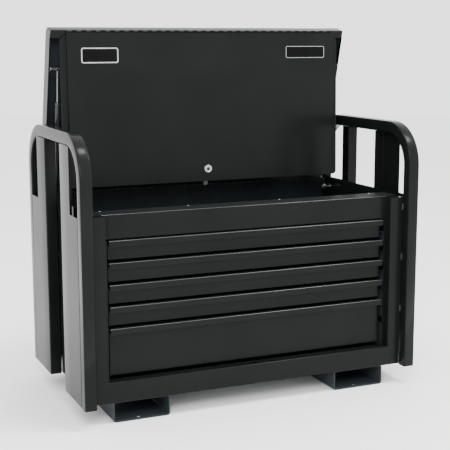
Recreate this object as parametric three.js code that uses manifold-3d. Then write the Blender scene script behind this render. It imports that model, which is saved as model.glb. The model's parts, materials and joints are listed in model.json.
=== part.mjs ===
// Tool chest with five drawers, a hinged lid, a hinged drawer cover and two side hoops.
// Millimetres, +Z up, the drawers face -Y.
// Lengths run from the left hoop's outer face in X, the hoops' front face in Y and the floor in Z.
import * as THREE from 'three';
import { mergeVertices } from 'three/addons/utils/BufferGeometryUtils.js';
import Module from 'manifold-3d';

const wasm = await Module();
wasm.setup();

// Overall sizes
const overallWidth = 1220;
const hoopDepth = 660;
const hoopTop = 935;
const hoopFoot = 66;
const tubeSize = 40;
const tubeWall = 3;
const bendOuterRadius = 150;
const sheet = 2;
const gap = 0.3;

// Chest body
const sideOuter = tubeSize + gap;
const sideInner = sideOuter + sheet;
const frontFace = 38;
const rearFace = 620;
const chestBottom = 70;
const chestTop = 678;
const sideTop = 686;
const sideSlopeStart = 115;
const sideSlopeEnd = 132;
const stileEdge = 86.5;
const stileReturnBack = 76;
const bottomRailTop = 136;
const ledgeFront = 71;
const ledgeBack = 157;
const deckTop = 600;
const slidePanelInner = stileEdge - sheet;

// Side columns
const slotBack = 126;
const postBack = 236;
const slotBottom = 678;
const coverFlangeDepth = 38;

// Fork pockets
const pocketOffset = 106.5;
const pocketWidth = 194.5;
const pocketWall = 4;
const pocketFront = 44;
const pocketBack = 616;
const pocketHoleRadius = 7.5;
const pocketHoleInset = 22;
const pocketHoleShift = -6;

// Lid, in its own closed frame: the hinge pin is the origin, +y back, +z up
const lidPinY = 623.5;
const lidPinZ = 681;
const lidOpenAngle = THREE.MathUtils.degToRad(75);
const lidSideOuter = 45;
const lidLength = 593;
const lidHeight = 68;
const lidRim = 1;
const lidNoseRadius = 30;
const lidReturnDepth = 27;
const lidBackGap = 3.5;

// Drawer cover, in its own hanging frame: its hinge pin is the origin
const flapPinY = -591.5;
const flapPinZ = -2.5;
const flapTilt = THREE.MathUtils.degToRad(1.5);
const flapPanelEdge = 96.5;
const flapFlangeEdge = 73.4;
const flapTop = -6.5;
const flapFlangeTop = -14.5;
const flapBottom = -537.5;
const flapFace = -5.5;
const flapFlangeFace = 3.5;
const flapHemBack = 12;
const flapCornerRadius = 12;

// Piano hinges
const knuckleRadius = 3.2;
const knuckleBore = 1.7;
const hingePinRadius = 1.3;
const knuckleLength = 34;
const knuckleSides = 8;
const leafThickness = 1.5;

// Lock
const lockZ = -493.5;
const lockBezelRadius = 14.5;
const lockBarrelRadius = 9.5;
const lockPlugRadius = 6;
const lockBarrelBack = 18;
const camFront = 19.8;
const camThickness = 3;
const camWidth = 16;
const camReach = 60;

// Gas struts: pivots in chest lengths, the upper one with the lid open
const strutX = 75;
const strutLowY = 555;
const strutLowZ = 652;
const strutHighY = 508;
const strutHighZ = 1123;
const strutCylinderRadius = 9;
const strutCylinderEnd = 358;
const strutRodRadius = 4;
const strutRodEnd = 334;
const strutFittingLength = 28;
const strutEyeRadius = 8;

// Drawers
const drawerCount = 5;
const drawerEdge = 106.5;
const lipTop = 595.5;
const lipPitch = 71.8;
const lipHeight = 20;
const lipFront = 57;
const drawerFace = 78;
const drawerFrontGap = 4;
const deepDrawerBottom = 146;
const drawerBack = 592;
const drawerWall = 1.5;
const runnerHalfHeight = 12;
const ribHalfHeight = 8;

const powderBlack = new THREE.MeshStandardMaterial({ color: 0x33363a, roughness: 0.5, metalness: 0.15 });
const innerBlack = new THREE.MeshStandardMaterial({ color: 0x24272a, roughness: 0.6, metalness: 0.15 });
const brightZinc = new THREE.MeshStandardMaterial({ color: 0xb9bbb8, roughness: 0.35, metalness: 0.9 });
const darkSteel = new THREE.MeshStandardMaterial({ color: 0x17191b, roughness: 0.35, metalness: 0.5 });
const chrome = new THREE.MeshStandardMaterial({ color: 0xd6d6d2, roughness: 0.12, metalness: 1.0 });
const plateSilver = new THREE.MeshStandardMaterial({ color: 0xa9aaa6, roughness: 0.3, metalness: 0.8 });

// A closed three.js geometry as a manifold solid
function solidOf(geometry) {
  const plain = geometry.clone();
  plain.deleteAttribute('normal');
  plain.deleteAttribute('uv');
  const merged = mergeVertices(plain, 1e-4);
  const mesh = new wasm.Mesh({
    numProp: 3,
    vertProperties: new Float32Array(merged.attributes.position.array),
    triVerts: new Uint32Array(merged.index.array),
  });
  return new wasm.Manifold(mesh);
}

// A manifold solid as a three.js geometry
function geometryOf(solid) {
  const mesh = solid.getMesh();
  const geometry = new THREE.BufferGeometry();
  geometry.setAttribute('position', new THREE.BufferAttribute(new Float32Array(mesh.vertProperties), 3));
  geometry.setIndex(new THREE.BufferAttribute(new Uint32Array(mesh.triVerts), 1));
  return geometry;
}

function union(solids) {
  return solids.reduce((whole, solid) => whole.add(solid));
}

function block(x0, x1, y0, y1, z0, z1) {
  const geometry = new THREE.BoxGeometry(x1 - x0, y1 - y0, z1 - z0);
  geometry.translate((x0 + x1) / 2, (y0 + y1) / 2, (z0 + z1) / 2);
  return solidOf(geometry);
}

// Carries a shape, drawn with Y across and Z up, along X
function alongX(shape, x0, x1, curveSegments = 8) {
  const geometry = new THREE.ExtrudeGeometry(shape, { depth: x1 - x0, bevelEnabled: false, curveSegments });
  const turn = new THREE.Matrix4().makeBasis(
    new THREE.Vector3(0, 1, 0),
    new THREE.Vector3(0, 0, 1),
    new THREE.Vector3(1, 0, 0),
  );
  geometry.applyMatrix4(turn);
  geometry.translate(x0, 0, 0);
  return solidOf(geometry);
}

// Carries a shape, drawn with X across and Z up, from y1 forward to y0
function alongY(shape, y0, y1, curveSegments = 6) {
  const geometry = new THREE.ExtrudeGeometry(shape, { depth: y1 - y0, bevelEnabled: false, curveSegments });
  geometry.rotateX(Math.PI / 2);
  geometry.translate(0, y1, 0);
  return solidOf(geometry);
}

function shapeOf(points) {
  return new THREE.Shape(points.map(([a, b]) => new THREE.Vector2(a, b)));
}

function rodAlongX(x0, x1, y, z, radius, sides) {
  const geometry = new THREE.CylinderGeometry(radius, radius, x1 - x0, sides);
  geometry.rotateZ(Math.PI / 2);
  geometry.translate((x0 + x1) / 2, y, z);
  return solidOf(geometry);
}

function rodAlongY(y0, y1, x, z, radius, sides) {
  const geometry = new THREE.CylinderGeometry(radius, radius, y1 - y0, sides);
  geometry.translate(x, (y0 + y1) / 2, z);
  return solidOf(geometry);
}

function rodAlongZ(z0, z1, x, y, radius, sides) {
  const geometry = new THREE.CylinderGeometry(radius, radius, z1 - z0, sides);
  geometry.rotateX(Math.PI / 2);
  geometry.translate(x, y, (z0 + z1) / 2);
  return solidOf(geometry);
}

// The same piece on the chest's right side
function mirrored(solid) {
  return solid.mirror([1, 0, 0]).translate([overallWidth, 0, 0]);
}

function addPiece(group, name, solid, material) {
  const mesh = new THREE.Mesh(geometryOf(solid), material);
  mesh.name = name;
  group.add(mesh);
}

function addPair(group, name, solid, material) {
  addPiece(group, `left_${name}`, solid, material);
  addPiece(group, `right_${name}`, mirrored(solid), material);
}

// Inverted U of the hoop's tube; inset shrinks it on every side to give the hollow
function hoopOutline(inset, foot) {
  const outer = bendOuterRadius - inset;
  const inner = bendOuterRadius - tubeSize + inset;
  const front = inset;
  const back = hoopDepth - inset;
  const top = hoopTop - inset;
  const bendZ = hoopTop - bendOuterRadius;
  const frontCentre = bendOuterRadius;
  const backCentre = hoopDepth - bendOuterRadius;
  const shape = new THREE.Shape();
  shape.moveTo(front, foot);
  shape.lineTo(tubeSize - inset, foot);
  shape.lineTo(tubeSize - inset, bendZ);
  shape.absarc(frontCentre, bendZ, inner, Math.PI, Math.PI / 2, true);
  shape.lineTo(backCentre, top - tubeSize + 2 * inset);
  shape.absarc(backCentre, bendZ, inner, Math.PI / 2, 0, true);
  shape.lineTo(hoopDepth - tubeSize + inset, foot);
  shape.lineTo(back, foot);
  shape.lineTo(back, bendZ);
  shape.absarc(backCentre, bendZ, outer, 0, Math.PI / 2, false);
  shape.lineTo(frontCentre, top);
  shape.absarc(frontCentre, bendZ, outer, Math.PI / 2, Math.PI, false);
  return shape;
}

function hoop() {
  const tube = alongX(hoopOutline(0, hoopFoot), 0, tubeSize);
  const bore = alongX(hoopOutline(tubeWall, hoopFoot - 1), tubeWall, tubeSize - tubeWall);
  return tube.subtract(bore);
}

// Folded sheet that fills the column beside the hoop's front leg, open in a slot above the chest
function frontColumnCover() {
  const coverFront = tubeSize + gap;
  const coverTop = hoopTop - tubeSize - gap;
  const web = block(0, sheet, coverFront, postBack, hoopFoot, coverTop);
  const slot = block(-1, coverFlangeDepth, coverFront - 1, slotBack, slotBottom, hoopTop);
  const flange = block(0, coverFlangeDepth, postBack - sheet, postBack, hoopFoot, coverTop);
  const innerRadius = bendOuterRadius - tubeSize - gap;
  const bendZ = hoopTop - bendOuterRadius;
  const corner = new THREE.Shape();
  corner.moveTo(slotBack - 1, hoopTop);
  corner.lineTo(slotBack - 1, bendZ + Math.sqrt(innerRadius ** 2 - (bendOuterRadius - slotBack + 1) ** 2));
  corner.lineTo(bendOuterRadius, coverTop);
  corner.lineTo(bendOuterRadius, hoopTop);
  const bendClearance = alongX(corner, -1, sheet + 1);
  return web.subtract(slot).subtract(bendClearance).add(flange);
}

function rearColumnCover() {
  return frontColumnCover().mirror([0, 1, 0]).translate([0, hoopDepth, 0]);
}

function sidePanel() {
  const outline = shapeOf([
    [tubeSize + gap, chestBottom],
    [rearFace - sheet - gap, chestBottom],
    [rearFace - sheet - gap, sideTop],
    [sideSlopeEnd, sideTop],
    [sideSlopeStart, chestTop - sheet],
    [tubeSize + gap, chestTop - sheet],
  ]);
  return alongX(outline, sideOuter, sideInner);
}

// Stiles, their inner returns and caps, and the bottom rail with its slotted ledge
function frontFrame() {
  const back = frontFace + sheet;
  const stile = block(sideOuter, stileEdge, frontFace, back, chestBottom, chestTop - sheet);
  const stileReturn = block(slidePanelInner, stileEdge, frontFace, stileReturnBack, chestBottom + sheet + gap, chestTop - sheet);
  const cap = block(sideInner + gap, stileEdge, frontFace, stileReturnBack, chestTop - 2 * sheet - gap, chestTop - sheet);
  const rail = block(sideOuter, overallWidth - sideOuter, frontFace, back, chestBottom, bottomRailTop);
  const ledge = block(
    slidePanelInner, overallWidth - slidePanelInner, frontFace, stileReturnBack, bottomRailTop - sheet, bottomRailTop,
  );
  const keeperSlot = block(
    overallWidth / 2 - camWidth, overallWidth / 2 + camWidth, 48, 62, bottomRailTop - 2 * sheet, bottomRailTop + 1,
  );
  const left = stile.add(stileReturn).add(cap);
  return union([left, mirrored(left), rail, ledge]).subtract(keeperSlot);
}

// Panel above the drawers, folded back into a ledge and down again to close the compartment's front
function topFrontPanel() {
  const between = [stileEdge + gap, overallWidth - stileEdge - gap];
  const across = [sideInner + gap, overallWidth - sideInner - gap];
  const foot = deckTop + gap;
  const face = block(...between, ledgeFront, ledgeFront + sheet, foot, chestTop);
  const shelf = block(...between, ledgeFront, ledgeBack, chestTop - sheet, chestTop);
  const wings = block(...across, stileReturnBack + gap, ledgeBack, chestTop - sheet, chestTop);
  const back = block(...across, ledgeBack - sheet, ledgeBack, foot, chestTop);
  return union([face, shelf, wings, back]);
}

function slidePanel() {
  return block(
    slidePanelInner, stileEdge, stileReturnBack + gap, rearFace - sheet - gap,
    chestBottom + sheet + gap, deckTop - sheet - gap,
  );
}

function forkPocket(left) {
  const right = left + pocketWidth;
  const top = chestBottom - gap;
  const shell = block(left, right, pocketFront, pocketBack, 0, top);
  const passage = block(
    left + pocketWall, right - pocketWall, pocketFront - 1, pocketBack + 1, pocketWall, top - pocketWall,
  );
  const holeX = (left + right) / 2 + pocketHoleShift;
  const hole = rodAlongZ(-1, pocketWall + 1, holeX, pocketFront + pocketHoleInset, pocketHoleRadius, 16);
  return shell.subtract(passage).subtract(hole);
}

// Knuckles every second place between x0 and x1, bored for the pin, each tied to the leaf by its tab
function knuckles(x0, x1, firstPlace, tabFrom) {
  const solids = [];
  const places = Math.floor((x1 - x0) / knuckleLength);
  for (let place = firstPlace; place < places; place += 2) {
    const start = x0 + place * knuckleLength + gap / 2;
    const end = start + knuckleLength - gap;
    solids.push(rodAlongX(start, end, 0, 0, knuckleRadius, knuckleSides).add(tabFrom(start, end)));
  }
  const bore = rodAlongX(x0 - 1, x1 + 1, 0, 0, knuckleBore, knuckleSides);
  return union(solids).subtract(bore);
}

// A leaf of the lid's hinge about its pin; side -1 hangs below it and side +1 stands above it
function rearHingeLeaf(side, firstPlace) {
  const y0 = -knuckleRadius;
  const y1 = y0 + leafThickness;
  const near = knuckleRadius + 0.6;
  const far = 26;
  const span = (x0, x1, a, b) => block(x0, x1, y0, y1, Math.min(side * a, side * b), Math.max(side * a, side * b));
  const leaf = span(rearHingeStart, rearHingeEnd, near, far);
  const tab = (start, end) => span(start, end, 0, near + 1).subtract(block(start - 1, end + 1, -1.6, 1.6, -1.6, 1.6));
  return leaf.add(knuckles(rearHingeStart, rearHingeEnd, firstPlace, tab));
}

const rearHingeStart = 83;
const rearHingeEnd = rearHingeStart + 31 * knuckleLength;
const flapHingeStart = 100;
const flapHingeEnd = flapHingeStart + 30 * knuckleLength;

// Lid pan in its closed frame: skin, four walls and the front wall's return
function lidShell() {
  const front = -lidLength;
  const back = -lidBackGap;
  const pan = (inset, floor) => {
    const shape = new THREE.Shape();
    shape.moveTo(front + inset, floor);
    shape.lineTo(back - inset, floor);
    shape.lineTo(back - inset, lidHeight - inset);
    shape.lineTo(front + lidNoseRadius, lidHeight - inset);
    shape.absarc(front + lidNoseRadius, lidHeight - lidNoseRadius, lidNoseRadius - inset, Math.PI / 2, Math.PI, false);
    return shape;
  };
  const outside = alongX(pan(0, lidRim), lidSideOuter, overallWidth - lidSideOuter);
  const inside = alongX(pan(sheet, lidRim - 1), lidSideOuter + sheet, overallWidth - lidSideOuter - sheet);
  const frontReturn = block(
    lidSideOuter + 1, overallWidth - lidSideOuter - 1, front + 1, front + lidReturnDepth, lidRim, lidRim + sheet,
  );
  // The front fold is eased along its bottom, so that the cover's knuckle tabs pass under it
  const easing = alongX(shapeOf([
    [front - 1, lidRim - 1],
    [front + 4.06, lidRim - 1],
    [front, lidRim + 1.6],
    [front - 1, lidRim + 2.24],
  ]), lidSideOuter - 1, overallWidth - lidSideOuter + 1);
  return outside.subtract(inside).add(frontReturn).subtract(easing);
}

// Leaf of the cover's hinge that lies on the lid's front return
function flapHingeLidLeaf() {
  const z0 = knuckleRadius - leafThickness;
  const leaf = block(flapHingeStart, flapHingeEnd, knuckleRadius + 0.6, 22, z0, knuckleRadius);
  const tab = (start, end) => block(start, end, 0, knuckleRadius + 1.6, z0 + 0.1, knuckleRadius - 0.02);
  return leaf.add(knuckles(flapHingeStart, flapHingeEnd, 0, tab));
}

// Leaf of the cover's hinge that lies behind the cover's panel
function flapHingeFlapLeaf() {
  const y0 = -knuckleRadius;
  const y1 = y0 + leafThickness;
  const leaf = block(flapHingeStart, flapHingeEnd, y0, y1, -26, -knuckleRadius - 0.6);
  const tab = (start, end) => block(start, end, y0 + 0.02, y1 - 0.1, -knuckleRadius - 1.6, 0);
  return leaf.add(knuckles(flapHingeStart, flapHingeEnd, 1, tab));
}

function hingePin(x0, x1) {
  return rodAlongX(x0 + 2, x1 - 2, 0, 0, hingePinRadius, knuckleSides);
}

// Drawer cover: raised panel, side flanges set back by a joggle, bottom hem and the lock's hole
function flapPanel() {
  const panel = block(flapPanelEdge, overallWidth - flapPanelEdge, flapFace, flapFace + sheet, flapBottom, flapTop);
  const inner = flapPanelEdge + sheet;
  const joggle = block(flapPanelEdge, inner, flapFace, flapFlangeFace + sheet, flapBottom, flapFlangeTop);
  const outline = new THREE.Shape();
  const corner = flapCornerRadius;
  outline.moveTo(inner, flapBottom);
  outline.lineTo(inner, flapFlangeTop);
  outline.lineTo(flapFlangeEdge + corner, flapFlangeTop);
  outline.absarc(flapFlangeEdge + corner, flapFlangeTop - corner, corner, Math.PI / 2, Math.PI, false);
  outline.lineTo(flapFlangeEdge, flapBottom + corner);
  outline.absarc(flapFlangeEdge + corner, flapBottom + corner, corner, Math.PI, 1.5 * Math.PI, false);
  const flange = alongY(outline, flapFlangeFace, flapFlangeFace + sheet, 5);
  const side = joggle.add(flange);
  const hem = block(inner, overallWidth - inner, flapFace, flapHemBack, flapBottom, flapBottom + sheet);
  const hole = rodAlongY(flapFace - 1, flapFace + sheet + 1, overallWidth / 2, lockZ, lockBarrelRadius + gap, 16);
  return union([panel, side, mirrored(side), hem]).subtract(hole);
}

function badge(x0, x1, z0, z1) {
  const y1 = flapFace - gap;
  return block(x0, x1, y1 - leafThickness, y1, z0, z1);
}

function lockBarrel() {
  const x = overallWidth / 2;
  const bezelBack = flapFace - gap;
  const bezel = rodAlongY(bezelBack - 2.5, bezelBack, x, lockZ, lockBezelRadius, 20);
  const barrel = rodAlongY(bezelBack - 1, lockBarrelBack, x, lockZ, lockBarrelRadius, 16);
  const bore = rodAlongY(bezelBack - 4, lockBarrelBack + 1, x, lockZ, lockPlugRadius + gap, 16);
  return bezel.add(barrel).subtract(bore);
}

function lockPlug() {
  const x = overallWidth / 2;
  const front = flapFace - gap - 2.5;
  const plug = rodAlongY(front, camFront - gap, x, lockZ, lockPlugRadius, 16);
  const keyway = block(x - 0.9, x + 0.9, front - 1, front + 8, lockZ - 4, lockZ + 4);
  return plug.subtract(keyway);
}

function lockCam() {
  const x = overallWidth / 2;
  return block(x - camWidth / 2, x + camWidth / 2, camFront, camFront + camThickness, lockZ - camReach, lockZ + 9);
}

// Ball stud on the chest wall; the ball sits in the strut's lower socket
function lowerStud() {
  const shank = rodAlongX(sideInner + gap, strutX, strutLowY, strutLowZ, 3.5, 10);
  const collar = rodAlongX(sideInner + gap, sideInner + 5, strutLowY, strutLowZ, 8, 10);
  const ball = new THREE.SphereGeometry(5.5, 10, 7);
  ball.translate(strutX, strutLowY, strutLowZ);
  return union([shank, collar, solidOf(ball)]);
}

// Stud on the lid's side wall, in the lid's frame, ending beside the rod's eye
function upperStud(y, z) {
  const wall = lidSideOuter + sheet + gap;
  const end = strutX - strutEyeRadius - 1;
  const shank = rodAlongX(wall, end, y, z, 3.5, 10);
  const collar = rodAlongX(wall, wall + 4, y, z, 8, 10);
  const head = rodAlongX(end - 4, end, y, z, 5.5, 10);
  return union([shank, collar, head]);
}

// Strut cylinder about its lower pivot, standing along +z: socket, neck and open-topped tube
function strutCylinder() {
  const socket = rodAlongX(-8, 8, 0, 0, 9.5, 12).subtract(rodAlongX(-9, 6, 0, 0, 6.2, 12));
  const neck = rodAlongZ(8, 46, 0, 0, 5, 10);
  const tube = rodAlongZ(45, strutCylinderEnd, 0, 0, strutCylinderRadius, 14);
  const bore = rodAlongZ(50, strutCylinderEnd - 8, 0, 0, strutCylinderRadius - 1.5, 14);
  const mouth = rodAlongZ(strutCylinderEnd - 9, strutCylinderEnd + 1, 0, 0, strutRodRadius + 0.5, 10);
  return union([socket, neck, tube]).subtract(bore).subtract(mouth);
}

// Strut rod along +z: piston, rod and end eye at the upper pivot
function strutRod(length) {
  const eye = rodAlongX(-strutEyeRadius, strutEyeRadius, 0, length, strutEyeRadius, 12);
  const fitting = rodAlongZ(length - strutFittingLength, length - 5, 0, 0, 5.5, 10);
  const rod = rodAlongZ(strutRodEnd, length - strutFittingLength + 1, 0, 0, strutRodRadius, 10);
  const piston = rodAlongZ(strutRodEnd, strutRodEnd + 8, 0, 0, strutCylinderRadius - 2, 12);
  return union([eye, fitting, rod, piston]);
}

function lipTopOf(index) {
  return lipTop - index * lipPitch;
}

function drawerBottomOf(index) {
  return index === drawerCount - 1 ? deepDrawerBottom : lipTopOf(index + 1) + drawerFrontGap;
}

function runnerHeightOf(index) {
  return (drawerBottomOf(index) + lipTopOf(index)) / 2;
}

// Front panel with a full-width pull lip folded forward and down from its top edge
function drawerFront(index) {
  const top = lipTopOf(index);
  const bottom = drawerBottomOf(index);
  const bend = 5;
  const profile = new THREE.Shape();
  profile.moveTo(drawerFace, bottom);
  profile.lineTo(drawerFace + sheet, bottom);
  profile.lineTo(drawerFace + sheet, top);
  profile.lineTo(lipFront + bend, top);
  profile.absarc(lipFront + bend, top - bend, bend, Math.PI / 2, Math.PI, false);
  profile.lineTo(lipFront, top - lipHeight);
  profile.lineTo(lipFront + sheet, top - lipHeight);
  profile.lineTo(lipFront + sheet, top - bend);
  profile.absarc(lipFront + bend, top - bend, bend - sheet, Math.PI, Math.PI / 2, true);
  profile.lineTo(drawerFace, top - sheet);
  return alongX(profile, drawerEdge, overallWidth - drawerEdge, 3);
}

// Open-topped box with a rib on each side that runs inside the runners
function drawerBox(index) {
  const x0 = drawerEdge;
  const x1 = overallWidth - drawerEdge;
  const y0 = drawerFace + sheet + gap;
  const z0 = drawerBottomOf(index) + 6;
  const z1 = lipTopOf(index) - 8;
  const outside = block(x0, x1, y0, drawerBack, z0, z1);
  const inside = block(
    x0 + drawerWall, x1 - drawerWall, y0 + drawerWall, drawerBack - drawerWall, z0 + drawerWall, z1 + 1,
  );
  const mid = runnerHeightOf(index);
  const rib = block(x0 - 8, x0 + 1, y0 + 2, drawerBack - 2, mid - ribHalfHeight, mid + ribHalfHeight);
  return outside.subtract(inside).add(rib).add(mirrored(rib));
}

// Channel on the slide panel, open towards the drawer
function drawerRunner(index) {
  const mid = runnerHeightOf(index);
  const x0 = stileEdge + gap;
  const x1 = drawerEdge - 4;
  const h = runnerHalfHeight;
  const profile = shapeOf([
    [x0, mid - h],
    [x1, mid - h],
    [x1, mid - h + 1.5],
    [x0 + 1.5, mid - h + 1.5],
    [x0 + 1.5, mid + h - 1.5],
    [x1, mid + h - 1.5],
    [x1, mid + h],
    [x0, mid + h],
  ]);
  return alongY(profile, stileReturnBack + 6, drawerBack);
}

// Turns a point of the lid from its open place into the lid's closed frame
function intoLidFrame(y, z) {
  const dy = y - lidPinY;
  const dz = z - lidPinZ;
  const c = Math.cos(lidOpenAngle);
  const s = Math.sin(lidOpenAngle);
  return [dy * c - dz * s, dy * s + dz * c];
}

const chest = new THREE.Group();
addPair(chest, 'hoop', hoop(), powderBlack);
addPair(chest, 'front_column_cover', frontColumnCover(), powderBlack);
addPair(chest, 'rear_column_cover', rearColumnCover(), powderBlack);
addPair(chest, 'side_panel', sidePanel(), powderBlack);
addPiece(chest, 'rear_panel', block(
  sideOuter, overallWidth - sideOuter, rearFace - sheet, rearFace, chestBottom, chestTop - sheet,
), powderBlack);
addPiece(chest, 'base_panel', block(
  sideInner + gap, overallWidth - sideInner - gap, frontFace + sheet + gap, rearFace - sheet - gap,
  chestBottom, chestBottom + sheet,
), innerBlack);
addPiece(chest, 'front_frame', frontFrame(), powderBlack);
addPiece(chest, 'top_front_panel', topFrontPanel(), powderBlack);
addPiece(chest, 'compartment_floor', block(
  sideInner + gap, overallWidth - sideInner - gap, stileReturnBack + gap, rearFace - sheet - gap,
  deckTop - sheet, deckTop,
), innerBlack);
addPair(chest, 'slide_panel', slidePanel(), innerBlack);
addPiece(chest, 'left_fork_pocket', forkPocket(pocketOffset), powderBlack);
addPiece(chest, 'right_fork_pocket', forkPocket(overallWidth - pocketOffset - pocketWidth), powderBlack);
addPair(chest, 'strut_lower_stud', lowerStud(), brightZinc);

for (let index = 0; index < drawerCount; index += 1) {
  const number = index + 1;
  addPiece(chest, `drawer_${number}_front`, drawerFront(index), powderBlack);
  addPiece(chest, `drawer_${number}_box`, drawerBox(index), innerBlack);
  addPair(chest, `runner_${number}`, drawerRunner(index), brightZinc);
}

const rearHinge = new THREE.Group();
rearHinge.position.set(0, lidPinY, lidPinZ);
addPiece(rearHinge, 'lid_hinge_chest_leaf', rearHingeLeaf(-1, 0), darkSteel);
addPiece(rearHinge, 'lid_hinge_pin', hingePin(rearHingeStart, rearHingeEnd), brightZinc);
chest.add(rearHinge);

const lid = new THREE.Group();
lid.position.set(0, lidPinY, lidPinZ);
lid.rotation.x = -lidOpenAngle;
addPiece(lid, 'lid', lidShell(), powderBlack);
addPiece(lid, 'lid_hinge_lid_leaf', rearHingeLeaf(1, 1), darkSteel);
addPair(lid, 'strut_upper_stud', upperStud(...intoLidFrame(strutHighY, strutHighZ)), brightZinc);
chest.add(lid);

const flap = new THREE.Group();
flap.position.set(0, flapPinY, flapPinZ);
flap.rotation.x = lidOpenAngle - flapTilt;
addPiece(flap, 'drawer_cover', flapPanel(), powderBlack);
addPiece(flap, 'cover_hinge_cover_leaf', flapHingeFlapLeaf(), darkSteel);
addPiece(flap, 'left_badge_plate', badge(146, 279, -110, -57), plateSilver);
addPiece(flap, 'right_badge_plate', badge(928, 1088, -97, -54), plateSilver);
addPiece(flap, 'lock_barrel', lockBarrel(), chrome);
addPiece(flap, 'lock_plug', lockPlug(), chrome);
addPiece(flap, 'lock_cam', lockCam(), brightZinc);
lid.add(flap);

const coverHinge = new THREE.Group();
coverHinge.position.set(0, flapPinY, flapPinZ);
addPiece(coverHinge, 'cover_hinge_lid_leaf', flapHingeLidLeaf(), darkSteel);
addPiece(coverHinge, 'cover_hinge_pin', hingePin(flapHingeStart, flapHingeEnd), brightZinc);
lid.add(coverHinge);

const strutLength = Math.hypot(strutHighY - strutLowY, strutHighZ - strutLowZ);
for (const [side, x] of [['left', strutX], ['right', overallWidth - strutX]]) {
  const strut = new THREE.Group();
  strut.position.set(x, strutLowY, strutLowZ);
  strut.rotation.x = Math.atan2(strutLowY - strutHighY, strutHighZ - strutLowZ);
  const turned = (solid) => (side === 'left' ? solid : solid.mirror([1, 0, 0]));
  addPiece(strut, `${side}_strut_cylinder`, turned(strutCylinder()), darkSteel);
  addPiece(strut, `${side}_strut_rod`, turned(strutRod(strutLength)), brightZinc);
  chest.add(strut);
}

// The origin is on the floor, midway across and midway from the hoops' front to the open lid's back
const rearmost = lidPinY + lidHeight * Math.sin(lidOpenAngle) - lidBackGap * Math.cos(lidOpenAngle);
chest.position.set(-overallWidth / 2, -rearmost / 2, 0);

const toolChest = new THREE.Group();
toolChest.add(chest);

export default toolChest;
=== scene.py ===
# Rolling tool chest with a hinged lid and a drawer cover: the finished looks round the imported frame
import json
import math

import bmesh
import bpy
import numpy as np
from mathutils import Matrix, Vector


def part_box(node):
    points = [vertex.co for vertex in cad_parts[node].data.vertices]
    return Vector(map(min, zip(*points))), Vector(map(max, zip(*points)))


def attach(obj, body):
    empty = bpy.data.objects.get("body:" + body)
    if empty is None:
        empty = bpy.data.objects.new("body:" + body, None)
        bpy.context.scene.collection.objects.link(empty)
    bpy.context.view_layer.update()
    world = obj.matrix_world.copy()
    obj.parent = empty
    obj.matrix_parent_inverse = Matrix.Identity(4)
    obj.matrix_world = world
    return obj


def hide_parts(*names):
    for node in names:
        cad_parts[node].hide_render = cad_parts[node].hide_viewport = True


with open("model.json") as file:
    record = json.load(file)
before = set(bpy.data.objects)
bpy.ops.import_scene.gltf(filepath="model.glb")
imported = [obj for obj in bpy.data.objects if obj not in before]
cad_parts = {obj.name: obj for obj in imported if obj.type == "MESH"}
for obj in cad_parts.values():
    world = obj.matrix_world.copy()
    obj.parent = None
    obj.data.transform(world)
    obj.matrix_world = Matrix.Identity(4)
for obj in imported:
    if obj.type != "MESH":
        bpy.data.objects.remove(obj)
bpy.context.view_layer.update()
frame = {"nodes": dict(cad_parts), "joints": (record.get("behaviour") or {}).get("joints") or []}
joints = {joint["name"]: joint for joint in frame["joints"]}
lidPin = np.array(joints["lid_hinge"]["pos_m"])
coverPin = np.array(joints["cover_hinge"]["pos_m"])
lidOpen = math.radians(joints["lid_hinge"]["range_deg"][1])
coverTilt = math.atan2(-joints["lock_turn"]["axis"][2], joints["lock_turn"]["axis"][1])
print("frame loaded:", len(frame["nodes"]), "nodes")


# Straight runs joined by arcs. Each arc leaves its corner by radius / tan(half the angle), and its points are
# the arm from the arc's centre turned evenly from one tangent point to the other. Returns points and unit
# tangents.
def softPath(corners, radius, steps=6):
    corners = np.asarray(corners, float)
    radii = np.broadcast_to(np.asarray(radius, float), (len(corners) - 2,))
    before, corner, after = corners[:-2], corners[1:-1], corners[2:]
    into = (before - corner) / np.linalg.norm(before - corner, axis=1, keepdims=True)
    out = (after - corner) / np.linalg.norm(after - corner, axis=1, keepdims=True)
    angle = np.arccos(np.clip((into * out).sum(1), -1, 1))
    reach = radii / np.tan(angle / 2)
    middle = into + out
    middle /= np.linalg.norm(middle, axis=1, keepdims=True)
    centre = corner + middle * (radii / np.sin(angle / 2))[:, None]
    first = corner + into * reach[:, None] - centre
    sweep = (np.pi - angle)[:, None] * np.linspace(0, 1, steps + 1)[None, :]
    side = -into
    points = (centre[:, None] + first[:, None] * np.cos(sweep)[..., None]
              + side[:, None] * (radii[:, None] * np.sin(sweep))[..., None])
    tangents = (side[:, None] * np.cos(sweep)[..., None]
                - first[:, None] / radii[:, None, None] * np.sin(sweep)[..., None])
    line = np.concatenate([corners[:1], points.reshape(-1, 2), corners[-1:]])
    heading = np.concatenate([-into[:1], tangents.reshape(-1, 2), out[-1:]])
    return line, heading


# A rectangle about the origin with quarter-circle corners, as one closed loop that starts at its lower left.
def softLoop(width, height, radius, steps=4):
    turn = np.linspace(0, np.pi / 2, steps + 1)
    quarter = np.stack([np.cos(turn), np.sin(turn)], 1) * radius
    x, y = width / 2 - radius, height / 2 - radius
    centres = np.array([[-x, -y], [x, -y], [x, y], [-x, y]])
    c, s = np.array([-1, 0, 1, 0]), np.array([0, -1, 0, 1])
    turned = np.stack([
        quarter[None, :, 0] * c[:, None] - quarter[None, :, 1] * s[:, None],
        quarter[None, :, 0] * s[:, None] + quarter[None, :, 1] * c[:, None],
    ], -1)
    return (centres[:, None] + turned).reshape(-1, 2)


# The distance of each point of a line from its start.
def alongLine(line):
    return np.concatenate([[0], np.cumsum(np.linalg.norm(np.diff(line, axis=0), axis=1))])


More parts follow.
